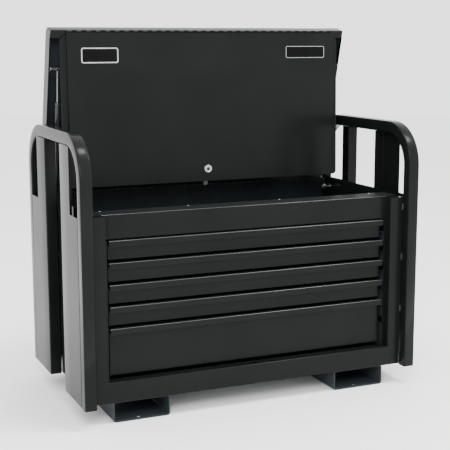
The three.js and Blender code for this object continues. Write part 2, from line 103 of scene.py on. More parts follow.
# The point of a line at each distance from its start, straight between its own points.
def follow(line, distance):
    lengths = alongLine(line)
    return np.interp(distance, lengths, line[:, 0]), np.interp(distance, lengths, line[:, 1])


# The lines outside a block, and even lines across it.
def linesRound(lines, centre, half, cells):
    lines = np.asarray(lines, float)
    block = centre + np.linspace(-half, half, cells + 1)
    return np.concatenate([lines[lines < block[0] - 1e-6], block, lines[lines > block[-1] + 1e-6]])


# A sheet on the lines s and t: place(s, t) puts each crossing in space. Cells where drop(s, t) is true at their
# middle are left out. At a hole (s, t, radius, half block, cells), a ring of faces joins the circle to its
# block.
def sheetGrid(place, s, t, wrap=False, drop=None, holes=()):
    for hs, ht, radius, half, cells in holes:
        s = linesRound(s, hs, half, cells)
        t = linesRound(t, ht, half, cells)
    n, m = len(s), len(t)
    gs, gt = np.meshgrid(s, t, indexing="ij")
    points = [place(gs.ravel(), gt.ravel())]
    i = np.arange(n if wrap else n - 1)[:, None]
    j = np.arange(m - 1)[None, :]
    here, there = i * m + j, ((i + 1) % n) * m + j
    cellsOf = np.stack([here, there, there + 1, here + 1], -1)
    keep = np.ones(cellsOf.shape[:2], bool)
    if drop is not None:
        ms = (s[:-1] + s[1:]) / 2 if not wrap else np.append((s[:-1] + s[1:]) / 2, s[-1])
        keep &= ~drop(ms[:, None], ((t[:-1] + t[1:]) / 2)[None, :])
    faces = []
    count = n * m
    for hs, ht, radius, half, cells in holes:
        a = int(np.argmin(abs(s - (hs - half))))
        b = int(np.argmin(abs(t - (ht - half))))
        keep[a:a + cells, b:b + cells] = False
        k = np.arange(cells)
        ringS = np.concatenate([a + k, np.full(cells, a + cells), a + cells - k, np.full(cells, a)])
        ringT = np.concatenate([np.full(cells, b), b + k, np.full(cells, b + cells), b + cells - k])
        bearing = np.arctan2(t[ringT] - ht, s[ringS] - hs)
        points.append(place(hs + radius * np.cos(bearing), ht + radius * np.sin(bearing)))
        edge = ringS * m + ringT
        circle = count + np.arange(len(edge))
        count += len(edge)
        faces.append(np.stack([edge, np.roll(edge, -1), np.roll(circle, -1), circle], -1))
    faces.insert(0, cellsOf[keep])
    return np.concatenate(points), np.concatenate(faces).tolist()


# Faces of a grid of points in rows of one length. The rows, the places along a row, or both can close into a
# ring.
def gridFaces(rows, places, rowsClose=True, placesClose=False):
    i = np.arange(rows if rowsClose else rows - 1)[:, None]
    j = np.arange(places if placesClose else places - 1)[None, :]
    nextRow, nextPlace = (i + 1) % rows * places, (j + 1) % places
    corners = [i * places + j, nextRow + j, nextRow + nextPlace, i * places + nextPlace]
    return np.stack(corners, -1).reshape(-1, 4)


# Faces between closed rings of n points, stacked one after another.
def ringFaces(n, rings):
    i, j = np.arange(n)[:, None], np.arange(rings - 1)[None, :] * n
    after = (i + 1) % n
    return np.stack([j + i, j + after, j + n + after, j + n + i], -1).reshape(-1, 4).tolist()


# A closed loop carried through the stations: place(u, v, station) puts its points in space, and both ends close
# with one flat face each.
def carried(loop, place, stations):
    loop, stations = np.asarray(loop, float), np.asarray(stations, float)
    n, m = len(loop), len(stations)
    spot, w = (flat.ravel() for flat in np.meshgrid(np.arange(n), stations, indexing="ij"))
    ends = [(np.arange(n)[::-1] * m).tolist(), (np.arange(n) * m + m - 1).tolist()]
    return place(loop[spot, 0], loop[spot, 1], w), gridFaces(n, m).tolist() + ends


# A profile of (distance along the axis, radius) turned about the axis through centre. Both ends reach the axis.
def spun(profile, centre, axis, sides):
    profile = np.asarray(profile, float)
    axis = np.asarray(axis, float) / np.linalg.norm(axis)
    across = np.cross(axis, [0.0, 0.0, 1.0] if abs(axis[2]) < 0.9 else [1.0, 0.0, 0.0])
    across /= np.linalg.norm(across)
    other = np.cross(axis, across)
    angle = np.arange(sides) * 2 * np.pi / sides
    arm = np.cos(angle)[:, None] * across + np.sin(angle)[:, None] * other
    points = np.asarray(centre, float) + profile[None, :, :1] * axis + profile[None, :, 1:] * arm[:, None]
    return points.reshape(-1, 3), gridFaces(sides, len(profile)).tolist()


# Several (points, faces) as one.
def gathered(parts):
    points, faces, start = [], [], 0
    for some, cells in parts:
        points.append(some)
        faces += [[v + start for v in cell] for cell in cells]
        start += len(some)
    return np.concatenate(points), faces


# Points measured from a pin, turned back by the angle about the pin's own line along X.
def turnedAt(pin, angle, x, y, z):
    c, s = math.cos(-angle), math.sin(-angle)
    return np.stack(np.broadcast_arrays(x + pin[0], pin[1] + y * c - z * s, pin[2] + y * s + z * c), -1)


# Points of the shut lid, measured from its hinge pin, turned up to where the lid stands open.
def onLid(x, y, z):
    return turnedAt(lidPin, lidOpen, x, y, z)


# Points of the hanging cover, measured from its hinge pin, with the cover's slight lean.
def onCover(x, y, z):
    return turnedAt(coverPin, coverTilt, x, y, z)


# Points in rows of three, turned into the frame of a pin.
def fromRow(points, pin, angle):
    y, z = points[..., 1] - pin[1], points[..., 2] - pin[2]
    c, s = math.cos(angle), math.sin(angle)
    return np.stack([points[..., 0] - pin[0], y * c - z * s, y * s + z * c], -1)


# A CAD node's lowest and highest corners in the frame of a pin.
def localBox(node, pin, angle):
    mesh = frame["nodes"][node].data
    flat = np.zeros(len(mesh.vertices) * 3)
    mesh.vertices.foreach_get("co", flat)
    local = fromRow(flat.reshape(-1, 3), pin, angle)
    return local.min(0), local.max(0)


finish = {"weld": 1e-6, "bevelSegments": 2, "sharp": 32}


# One finished piece. An open sheet faces away from the point inside and is thickened towards it; a closed shape
# faces outwards, which the sign of its volume (the sum of each face's corner products) tells.
def addPiece(name, made, body, nodes, slot, coat, thick=0.0, inside=None, bevel=0.0, sharp=finish["sharp"]):
    points, faces = made
    mesh = bpy.data.meshes.new(name)
    mesh.from_pydata(np.asarray(points, float).tolist(), [], faces)
    work = bmesh.new()
    work.from_mesh(mesh)
    bmesh.ops.remove_doubles(work, verts=work.verts, dist=finish["weld"])
    if inside is not None:
        here = np.array([f.calc_center_median() for f in work.faces]) - np.asarray(inside, float)
        facing = np.array([f.normal * f.calc_area() for f in work.faces])
        if (here * facing).sum() < 0:
            bmesh.ops.reverse_faces(work, faces=work.faces)
    elif work.calc_volume(signed=True) < 0:
        bmesh.ops.reverse_faces(work, faces=work.faces)
    work.to_mesh(mesh)
    work.free()
    mesh.shade_smooth()
    mesh.set_sharp_from_angle(angle=math.radians(sharp))
    piece = bpy.data.objects.new(name, mesh)
    bpy.context.scene.collection.objects.link(piece)
    mesh.materials.append(coat)
    if thick:
        wall = piece.modifiers.new("wall", "SOLIDIFY")
        wall.thickness, wall.offset, wall.use_even_offset = thick, -1, True
    if bevel:
        edge = piece.modifiers.new("edge", "BEVEL")
        edge.width, edge.segments, edge.limit_method = bevel, finish["bevelSegments"], "ANGLE"
        edge.angle_limit, edge.harden_normals = math.radians(sharp), True
    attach(piece, body)
    if nodes:
        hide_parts(*nodes)
    return piece


def newCoat(name):
    coat = bpy.data.materials.new(name)
    coat.use_nodes = True
    nodes = coat.node_tree.nodes
    return coat, nodes, coat.node_tree.links, nodes["Principled BSDF"]


# Gives a piece's faces another coat where the upward share of their normal lies between low and high, and their
# middle lies in front of the line behind. It is used to paint light by face direction: a highlight line on front
# folds and a lighter ledge top.
def recoat(piece, coat, low, high, behind):
    mesh = piece.data
    mesh.materials.append(coat)
    flat = np.zeros(len(mesh.polygons) * 3)
    mesh.polygons.foreach_get("normal", flat)
    up = flat[2::3].copy()
    mesh.polygons.foreach_get("center", flat)
    slots = np.zeros(len(mesh.polygons), np.int32)
    mesh.polygons.foreach_get("material_index", slots)
    slots[(up > low) & (up < high) & (flat[1::3] < behind)] = len(mesh.materials) - 1
    mesh.polygons.foreach_set("material_index", slots)


# Noise on object coordinates, its scale in features for each metre, drawn out by stretch.
def noiseOf(nodes, links, scale, detail, stretch=(1, 1, 1)):
    spot = nodes.new("ShaderNodeTexCoord")
    lay = nodes.new("ShaderNodeMapping")
    lay.inputs["Scale"].default_value = stretch
    noise = nodes.new("ShaderNodeTexNoise")
    noise.inputs["Scale"].default_value = scale
    noise.inputs["Detail"].default_value = detail
    links.new(spot.outputs["Object"], lay.inputs["Vector"])
    links.new(lay.outputs["Vector"], noise.inputs["Vector"])
    return noise.outputs["Fac"]


# A value moved from one range to another.
def spread(nodes, links, value, low, high, fromLow=0.3, fromHigh=0.7):
    span = nodes.new("ShaderNodeMapRange")
    span.inputs["From Min"].default_value = fromLow
    span.inputs["From Max"].default_value = fromHigh
    span.inputs["To Min"].default_value = low
    span.inputs["To Max"].default_value = high
    links.new(value, span.inputs["Value"])
    return span.outputs["Result"]


def blendOf(nodes, links, share, one, two):
    mix = nodes.new("ShaderNodeMix")
    mix.data_type = "RGBA"
    mix.inputs[6].default_value = (*one, 1)
    mix.inputs[7].default_value = (*two, 1)
    links.new(share, mix.inputs[0])
    return mix.outputs[2]


# Height layers of (value, depth in metres) stacked into the shader's normal.
def bumpOf(nodes, links, layers, shader):
    last = None
    for value, depth in layers:
        bump = nodes.new("ShaderNodeBump")
        bump.inputs["Strength"].default_value = 1.0
        bump.inputs["Distance"].default_value = depth
        links.new(value, bump.inputs["Height"])
        if last is not None:
            links.new(last, bump.inputs["Normal"])
        last = bump.outputs["Normal"]
    links.new(last, shader.inputs["Normal"])


coatValues = {
    "outer": {"dark": (0.0042, 0.0052, 0.0050), "light": (0.0066, 0.0077, 0.0072), "roughLow": 0.18,
              "roughHigh": 0.26, "peelScale": 420, "peelDepth": 0.00002, "waveScale": 24, "waveDepth": 0.0006,
              "level": 0.075},
    # inner: the satin inner coat, also used as painted light, a lighter coat on shaded insides of black parts
    "inner": {"dark": (0.0230, 0.0285, 0.0320), "light": (0.0300, 0.0360, 0.0400), "roughLow": 0.34, "roughHigh": 0.46,
              "peelScale": 520, "peelDepth": 0.00003, "waveScale": 20, "waveDepth": 0.0005, "level": 0.05},
    # foldHighlight: a lighter, glossier copy of the black coat, painting the highlight line along front folds
    "foldHighlight": {"dark": (0.022, 0.024, 0.023), "light": (0.034, 0.036, 0.034), "roughLow": 0.20, "roughHigh": 0.30,
               "peelScale": 420, "peelDepth": 0.00001, "waveScale": 24, "waveDepth": 0.0003, "level": 0.30},
    # ledge: a lighter, duller copy of the black coat for the ledge's top, painting the light that falls on it
    "ledge": {"dark": (0.0075, 0.0088, 0.0088), "light": (0.0110, 0.0125, 0.0122), "roughLow": 0.42, "roughHigh": 0.56,
              "peelScale": 420, "peelDepth": 0.00003, "waveScale": 24, "waveDepth": 0.0004, "level": 0.02},
    # rear: a lighter copy of the black coat for the rear panel, painting light onto its shaded inside face
    "rear": {"dark": (0.0105, 0.0130, 0.0135), "light": (0.0145, 0.0175, 0.0180), "roughLow": 0.22, "roughHigh": 0.32,
             "peelScale": 420, "peelDepth": 0.00002, "waveScale": 20, "waveDepth": 0.0005, "level": 0.07},
    # field: the badge field's black, also near-black on the cover hinge's lower leaf as painted shade between knuckles
    "field": {"dark": (0.0012, 0.0013, 0.0015), "light": (0.0026, 0.0027, 0.0030), "roughLow": 0.30, "roughHigh": 0.42,
              "peelScale": 800, "peelDepth": 0.00002, "waveScale": 40, "waveDepth": 0.0001, "level": 0.06},
    "hinge": {"dark": (0.0040, 0.0045, 0.0048), "light": (0.0080, 0.0085, 0.0088), "roughLow": 0.48, "roughHigh": 0.62,
              "peelScale": 700, "peelDepth": 0.00002, "waveScale": 40, "waveDepth": 0.0001, "level": 0.12},
}


# Baked powder paint: a fine orange peel, slow waves left in the sheet, and a cloudy, faintly speckled colour.
def powderCoat(name, values):
    coat, nodes, links, shader = newCoat(name)
    cloud = noiseOf(nodes, links, 5.0, 4)
    speck = noiseOf(nodes, links, 900, 2)
    tone = nodes.new("ShaderNodeMath")
    tone.operation = "MULTIPLY_ADD"
    tone.inputs[1].default_value = 0.35
    links.new(speck, tone.inputs[0])
    links.new(spread(nodes, links, cloud, 0.0, 0.65), tone.inputs[2])
    links.new(blendOf(nodes, links, tone.outputs[0], values["dark"], values["light"]), shader.inputs["Base Color"])
    handled = noiseOf(nodes, links, 11, 5, (1, 1, 0.45))
    links.new(spread(nodes, links, handled, values["roughLow"], values["roughHigh"]), shader.inputs["Roughness"])
    shader.inputs["Specular IOR Level"].default_value = values["level"]
    bumpOf(nodes, links, [
        (noiseOf(nodes, links, values["waveScale"] / 8, 2), values["waveDepth"]),
        (noiseOf(nodes, links, values["peelScale"], 2), values["peelDepth"]),
    ], shader)
    return coat


metalValues = {
    "zinc": {"dark": (0.26, 0.27, 0.27), "light": (0.42, 0.42, 0.40), "roughLow": 0.24, "roughHigh": 0.42,
             "grainScale": 160, "grainDepth": 0.00003, "stretch": (1, 1, 1)},
    "brushed": {"dark": (0.36, 0.36, 0.34), "light": (0.56, 0.56, 0.53), "roughLow": 0.22, "roughHigh": 0.38,
                "grainScale": 420, "grainDepth": 0.00002, "stretch": (0.04, 1, 1)},
    "runner": {"dark": (0.075, 0.076, 0.078), "light": (0.13, 0.13, 0.13), "roughLow": 0.36, "roughHigh": 0.52,
               "grainScale": 200, "grainDepth": 0.00003, "stretch": (1, 0.1, 1)},
    "lock": {"dark": (0.34, 0.34, 0.33), "light": (0.52, 0.52, 0.50), "roughLow": 0.16, "roughHigh": 0.28,
             "grainScale": 300, "grainDepth": 0.00001, "stretch": (1, 1, 1)},
    "rod": {"dark": (0.15, 0.155, 0.155), "light": (0.25, 0.255, 0.25), "roughLow": 0.12, "roughHigh": 0.24,
            "grainScale": 500, "grainDepth": 0.00001, "stretch": (1, 1, 0.05)},
}


# Plated or brushed metal: a grain drawn out along the work, with its own roughness and tone.
def bareMetal(name, values):
    coat, nodes, links, shader = newCoat(name)
    grain = noiseOf(nodes, links, values["grainScale"], 5, values["stretch"])
    smudge = noiseOf(nodes, links, 30, 3)
    shader.inputs["Metallic"].default_value = 1.0
    links.new(blendOf(nodes, links, grain, values["dark"], values["light"]), shader.inputs["Base Color"])
    links.new(spread(nodes, links, smudge, values["roughLow"], values["roughHigh"]), shader.inputs["Roughness"])
    bumpOf(nodes, links, [(grain, values["grainDepth"])], shader)
    return coat


darkSteelValues = {"dark": (0.010, 0.011, 0.012), "light": (0.020, 0.021, 0.022),
                   "roughLow": 0.18, "roughHigh": 0.34}


# Gloss black enamel over drawn tube, with faint lengthwise draw lines.
def darkSteel(name, values):
    coat, nodes, links, shader = newCoat(name)
    draw = noiseOf(nodes, links, 240, 3, (1, 1, 0.12))
    links.new(blendOf(nodes, links, draw, values["dark"], values["light"]), shader.inputs["Base Color"])
    smudge = noiseOf(nodes, links, 18, 4)
    links.new(spread(nodes, links, smudge, values["roughLow"], values["roughHigh"]), shader.inputs["Roughness"])
    bumpOf(nodes, links, [(draw, 0.00002)], shader)
    return coat


outerCoat = powderCoat("powderCoatBlack", coatValues["outer"])
# The inner coat also paints light onto shaded black parts: pocket insides, the lid's inner side and the lid-side cover
# knuckles
innerCoatAndPaintedFill = powderCoat("satinInnerCoatAndPaintedFill", coatValues["inner"])
# Painted highlight: a lighter copy of the black coat for the bright line along front folds
foldHighlightCoat = powderCoat("foldHighlightEdgeCoat", coatValues["foldHighlight"])
# Painted light: a lighter copy of the black coat for the ledge's upward faces
litLedgeCoat = powderCoat("paintedLitLedgeCoat", coatValues["ledge"])
# Painted light: a lighter copy of the black coat for the rear panel's shaded inside
rearLitCoat = powderCoat("rearPanelPaintedLightCoat", coatValues["rear"])
# The badge field's black also paints shade on the cover hinge's lower leaf
fieldBlackAndHingeShade = powderCoat("badgeFieldBlackAndHingeShade", coatValues["field"])
hingeBlack = powderCoat("mattHingeBlack", coatValues["hinge"])
zincPlate = bareMetal("zincPlate", metalValues["zinc"])
lockNickel = bareMetal("wornLockNickel", metalValues["lock"])
brushedPlate = bareMetal("brushedPlate", metalValues["brushed"])
strutRodSteel = bareMetal("strutRodSteel", metalValues["rod"])
runnerSteel = bareMetal("oiledRunnerSteel", metalValues["runner"])
glossBlack = darkSteel("glossBlackEnamel", darkSteelValues)
print("finishes made")

hoopLo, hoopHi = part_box("left_hoop")
farLo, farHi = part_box("right_hoop")
panelLo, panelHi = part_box("left_side_panel")
sheet = panelHi.x - panelLo.x
middleY = (hoopLo.y + hoopHi.y) / 2
chestMiddle = (0.0, (panelLo.y + panelHi.y) / 2, (panelLo.z + panelHi.z) / 2)
sides = (("left", 1), ("right", -1))
seamGap = 0.0003  # left between pieces that meet


# An X measured inwards from a side's outer hoop face.
def acrossFrom(side, x):
    return hoopLo.x + x if side == "left" else farHi.x - x


hoopShape = {"bendRadius": 0.150, "cornerRadius": 0.0045, "wall": 0.003, "bendSteps": 20, "cornerSteps": 4}


# A rounded square section carried along an inverted U: the section's second axis is the path's normal. The point
# inside lies level with the open ends, which so add nothing to the test of the faces' way.
def buildHoop(side):
    lo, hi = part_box(f"{side}_hoop")
    half = (hi.x - lo.x) / 2
    corners = [(lo.y + half, lo.z), (lo.y + half, hi.z - half), (hi.y - half, hi.z - half), (hi.y - half, lo.z)]
    line, heading = softPath(corners, hoopShape["bendRadius"] - half, hoopShape["bendSteps"])
    loop = softLoop(2 * half, 2 * half, hoopShape["cornerRadius"], hoopShape["cornerSteps"])

    def place(s, t):
        s, t = s.astype(int), t.astype(int)
        u, v = loop[s, 0], loop[s, 1]
        return np.stack([lo.x + half + u, line[t, 0] - heading[t, 1] * v, line[t, 1] + heading[t, 0] * v], -1)

    tube = sheetGrid(place, np.arange(len(loop)), np.arange(len(line)), wrap=True)
    addPiece(f"{side}_hoop_tube", tube, "chest", [f"{side}_hoop"], "powder_coat", outerCoat,
             thick=hoopShape["wall"], inside=(lo.x + half, middleY, lo.z))


for side, sign in sides:
    buildHoop(side)
print("hoops made")

columnShape = {"foldRadius": 0.004, "foldSteps": 5, "bevel": 0.0007, "slotSteps": 6, "slotDepth": 0.0857,
               "sillDrop": 0.008, "bendGap": 0.0004, "pastBend": 0.002}


# A sheet folded once along its back edge. Its height ends at the chest top in front of the slot, and follows
# the hoop's inner bend (bend centre height plus the root of radius squared less distance squared) behind it.
def buildColumn(side, end, sign):
    name = f"{side}_{end}_column_cover"
    lo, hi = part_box(name)
    forward = 1 if end == "front" else -1
    near = lo.y if end == "front" else hi.y
    depth = hi.y - lo.y
    flange = hi.x - lo.x
    outer = lo.x if side == "left" else hi.x
    sill = panelHi.z - columnShape["sillDrop"]
    slot = columnShape["slotDepth"]
    line, _ = softPath([(0, 0), (depth, 0), (depth, flange)], columnShape["foldRadius"], columnShape["foldSteps"])
    lengths = alongLine(line)
    bendCentre = hoopHi.z - hoopShape["bendRadius"]
    bendInner = hoopShape["bendRadius"] - (hoopHi.x - hoopLo.x) - columnShape["bendGap"]
    bendFrom = hoopShape["bendRadius"] - (near - hoopLo.y if end == "front" else hoopHi.y - near)

    def place(s, t):
        v, u = follow(line, s)
        away = np.clip(bendFrom - v, 0, bendInner)
        top = bendCentre + np.sqrt(bendInner ** 2 - away ** 2) - seamGap
        z = np.where(t <= sill, t, sill + (t - sill) / (hi.z - sill) * (np.minimum(top, hi.z) - sill))
        return np.stack([outer + sign * u, near + forward * v, z], -1)

    underBend = np.linspace(slot, bendFrom + columnShape["pastBend"], columnShape["slotSteps"])
    s = np.unique(np.concatenate([lengths, underBend]))
    made = sheetGrid(place, s, np.array([lo.z, sill, hi.z]), drop=lambda a, b: (a < slot) & (b > sill))
    inside = (outer + sign * 0.5, near + forward * (depth - 0.5), (lo.z + hi.z) / 2)
    addPiece(f"{side}_{end}_column", made, "chest", [name], "powder_coat", outerCoat,
             thick=sheet, inside=inside, bevel=columnShape["bevel"])


for side, sign in sides:
    for end in ("front", "rear"):
        buildColumn(side, end, sign)
print("column covers made")

sidePanelShape = {"slopeStart": 0.0747, "slopeEnd": 0.0917, "step": 0.010, "bevel": 0.0007}


# A flat sheet whose top edge steps down by a short slope near its front.
def buildSidePanel(side, sign):
    lo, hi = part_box(f"{side}_side_panel")
    y = lo.y + np.array([0, sidePanelShape["slopeStart"], sidePanelShape["slopeEnd"], hi.y - lo.y])
    top = np.array([hi.z - sidePanelShape["step"], hi.z - sidePanelShape["step"], hi.z, hi.z])
    outer = lo.x if side == "left" else hi.x

    def place(s, t):
        return np.stack([np.full_like(s, outer), s, lo.z + t * (np.interp(s, y, top) - lo.z)], -1)

    made = sheetGrid(place, y, np.linspace(0, 1, 3))
    addPiece(f"{side}_side_sheet", made, "chest", [f"{side}_side_panel"], "powder_coat", outerCoat,
             thick=sheet, inside=chestMiddle, bevel=sidePanelShape["bevel"])


for side, sign in sides:
    buildSidePanel(side, sign)
print("side panels made")

frameShape = {"stileWidth": 0.0462, "railHeight": 0.066, "foldRadius": 0.0032, "foldSteps": 5, "slotWidth": 0.032,
              "slotFront": 0.010, "slotBack": 0.024, "bevel": 0.0006}


# One skin round the drawer opening. Its section runs from the return's back edge forward, round the fold and
# out over the face; the corners are mitred, so the section's outward share is scaled to the stile's or rail's
# width.
def buildFrontFrame():
    lo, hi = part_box("front_frame")
    left, right = lo.x + frameShape["stileWidth"], hi.x - frameShape["stileWidth"]
    ledge = lo.z + frameShape["railHeight"]
    depth = hi.y - lo.y
    fold, _ = softPath([(0, depth), (0, 0), (0.02, 0)], frameShape["foldRadius"], frameShape["foldSteps"])
    ledgeLine = [(0, depth), (0, frameShape["slotBack"]), (0, frameShape["slotFront"])]
    section = np.concatenate([ledgeLine, fold[1:-1], [(1, 0)]])
    reach = section[:, 0]
    stations = np.array([
        [left, hi.z, -1, 0], [left, ledge, -1, -1], [-frameShape["slotWidth"] / 2, ledge, 0, -1],
        [frameShape["slotWidth"] / 2, ledge, 0, -1], [right, ledge, 1, -1], [right, hi.z, 1, 0],
    ])

    def place(s, t):
        s, t = s.astype(int), t.astype(int)
        far = reach[s] >= 1
        x = stations[t, 0] + stations[t, 2] * np.where(far, frameShape["stileWidth"], reach[s])
        z = stations[t, 1] + stations[t, 3] * np.where(far, frameShape["railHeight"], reach[s])
        return np.stack([x, lo.y + section[s, 1], z], -1)

    made = sheetGrid(place, np.arange(len(section)), np.arange(len(stations)),
                     drop=lambda a, b: (abs(a - 1.5) < 0.1) & (abs(b - 2.5) < 0.1))
    addPiece("front_frame_skin", made, "chest", ["front_frame"], "powder_coat", outerCoat,
             thick=sheet, inside=(0, 0.2, (lo.z + hi.z) / 2 + 5), bevel=frameShape["bevel"])
    return left, right, ledge, lo, hi


openLeft, openRight, ledgeTop, frameLo, frameHi = buildFrontFrame()
print("front frame made", openLeft, openRight, ledgeTop)

topPanelShape = {"foldRadius": 0.0032, "foldSteps": 5, "jointInset": 0.020, "jointGap": 0.0006, "bevel": 0.0006}


# A sheet carried across the chest: up the face, back over the ledge and down again behind it. The face is cut
# by two joints, and the ledge's wings reach behind the stiles.
def buildTopPanel():
    lo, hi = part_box("top_front_panel")
    depth, height = hi.y - lo.y, hi.z - lo.z
    line, _ = softPath([(0, 0), (0, height), (depth, height), (depth, 0)], topPanelShape["foldRadius"],
                       topPanelShape["foldSteps"])
    lengths = alongLine(line)
    wingStart = height + (frameHi.y + seamGap - lo.y)
    inset, gap = topPanelShape["jointInset"], topPanelShape["jointGap"]
    edge = openRight - seamGap
    x = np.array([lo.x, -edge, -edge + inset - gap, -edge + inset, edge - inset, edge - inset + gap, edge, hi.x])

    def place(s, t):
        v, w = follow(line, s)
        return np.stack([t, lo.y + v, lo.z + w], -1)

    def drop(a, b):
        joint = (abs(abs(b) - (edge - inset + gap / 2)) < gap / 2) & (a < height - topPanelShape["foldRadius"])
        return joint | ((abs(b) > edge) & (a < wingStart))

    s = np.unique(np.concatenate([lengths, [wingStart]]))
    made = sheetGrid(place, s, x, drop=drop)
    piece = addPiece("top_front_skin", made, "chest", ["top_front_panel"], "powder_coat", outerCoat,
                     thick=sheet, inside=(0, (lo.y + hi.y) / 2, lo.z + height / 2), bevel=topPanelShape["bevel"])
    # Painted highlight: the front fold's faces take the lighter coat as their bright line
    recoat(piece, foldHighlightCoat, 0.5, 0.96, lo.y + topPanelShape["foldRadius"])
    # Painted light: the ledge's upward faces take a lighter copy of the black coat
    recoat(piece, litLedgeCoat, 0.96, 1.01, hi.y)
    return lo, hi


topLo, topHi = buildTopPanel()

jambShape = {"width": {"left": 0.0080, "right": 0.0068}, "front": {"left": 0.0060, "right": 0.0300}, "depth": 0.012,
             "foldRadius": 0.002, "foldSteps": 4, "wall": 0.0015, "bevel": 0.0004}


# The narrow folded edge of the slide panel that shows beside the drawers.
def buildJamb(side, sign):
    shape = jambShape
    edge = openLeft if side == "left" else openRight
    line, _ = softPath([(shape["width"][side], 0), (seamGap, 0), (seamGap, shape["depth"])], shape["foldRadius"],
                       shape["foldSteps"])
    base = ledgeTop + seamGap

    def place(s, t):
        u, v = follow(line, s)
        return np.stack([edge + sign * u, frameLo.y + shape["front"][side] + v, t], -1)

    made = sheetGrid(place, alongLine(line), np.array([base, topLo.z - seamGap]))
    addPiece(f"{side}_jamb", made, "chest", None, "powder_coat", outerCoat, thick=shape["wall"],
             inside=(edge + sign * 0.5, 0.5, (base + topLo.z) / 2), bevel=shape["bevel"])


for side, sign in sides:
    buildJamb(side, sign)

screwShape = {"radius": 0.0042, "height": 0.0016, "inset": 0.007, "fromLeft": (0.105, 0.412, 0.750, 1.108),
              "sunk": 0.0002, "sides": 12}


# A low dome: the radius falls off as a quarter ellipse with height.
def buildScrew(number, fromLeft):
    radius, height, sunk = screwShape["radius"], screwShape["height"], screwShape["sunk"]
    turn = np.linspace(0, np.pi / 2, 5)
    dome = np.stack([height * np.sin(turn), radius * np.cos(turn)], 1)
    spot = (hoopLo.x + fromLeft, topHi.y - screwShape["inset"], topHi.z)
    made = spun(np.concatenate([[(-sunk, 0), (-sunk, radius)], dome]), spot, (0, 0, 1), screwShape["sides"])
    addPiece(f"ledge_screw_{number}", made, "chest", None, "zinc", zincPlate)


for number, fromLeft in enumerate(screwShape["fromLeft"], 1):
    buildScrew(number, fromLeft)

capShape = {"sideGap": 0.0022, "drop": 0.012, "sunk": 0.0005, "foldRadius": 0.002, "foldSteps": 4, "wall": 0.0015,
            "bevel": 0.0004}


# A small plate, folded down at its inner edge, that closes the stile's top.
def buildCap(side, sign):
    shape = capShape
    edge = openLeft if side == "left" else openRight
    wide = frameShape["stileWidth"] - sheet - 2 * seamGap
    line, _ = softPath([(shape["sideGap"], -shape["drop"]), (shape["sideGap"], 0), (wide, 0)], shape["foldRadius"],
                       shape["foldSteps"])

    def place(s, t):
        u, w = follow(line, s)
        return np.stack([edge - sign * u, t, frameHi.z - shape["sunk"] + w], -1)

    made = sheetGrid(place, alongLine(line), np.array([frameLo.y + sheet + seamGap, frameHi.y]))
    addPiece(f"{side}_stile_cap", made, "chest", None, "powder_coat", outerCoat, thick=shape["wall"],
             inside=(edge - sign * 0.5, (frameLo.y + frameHi.y) / 2, 0), bevel=shape["bevel"])


weldShape = {"radius": 0.0046, "length": 0.026, "ripples": 7, "rippleDepth": 0.0006,
             "heights": (0.641, 0.463, 0.275, 0.091)}


# A bead in the corner of stile and hoop: a quarter-round whose radius swells and dips along its length, and
# shrinks to nothing at both ends as the root of one minus distance squared.
def weldBead(side, sign, z):
    shape = weldShape
    turn = np.linspace(0, np.pi / 2, 6)
    along = np.linspace(-1, 1, 22)
    swell = np.sqrt(np.clip(1 - along ** 2, 0.0004, 1)) ** 0.5
    radius = swell * (shape["radius"] + shape["rippleDepth"] * np.cos(along * shape["ripples"] * np.pi))
    loop = np.concatenate([[(0.0, 0.0)], np.stack([np.cos(turn), np.sin(turn)], 1)])
    corner = acrossFrom(side, hoopHi.x - hoopLo.x)

    def place(u, v, w):
        here = np.interp(w, along, radius)
        y = frameLo.y + seamGap - v * here
        return np.stack([corner + sign * (u * here), y, z + w * shape["length"] / 2], -1)

    return carried(loop, place, along)


for side, sign in sides:
    buildCap(side, sign)
    beads = gathered([weldBead(side, sign, z) for z in weldShape["heights"]])
    addPiece(f"{side}_weld_beads", beads, "chest", None, "powder_coat", innerCoatAndPaintedFill, sharp=50)
print("top panel, jambs, caps, screws and welds made")

drawerShape = {"lipRadius": 0.0045, "backRadius": 0.0028, "foldSteps": 6, "lipHeight": 0.020,
               "faceShort": 0.0014, "faceRaise": 0.0032, "bevel": 0.0005, "capInset": 0.0001, "capThick": 0.0014,
               "capFoot": 0.0004, "capBack": 0.003, "capDrop": 0.004, "capToe": 0.0045, "capRadius": 0.001,
               "capSteps": 5, "capBevel": 0.0003}


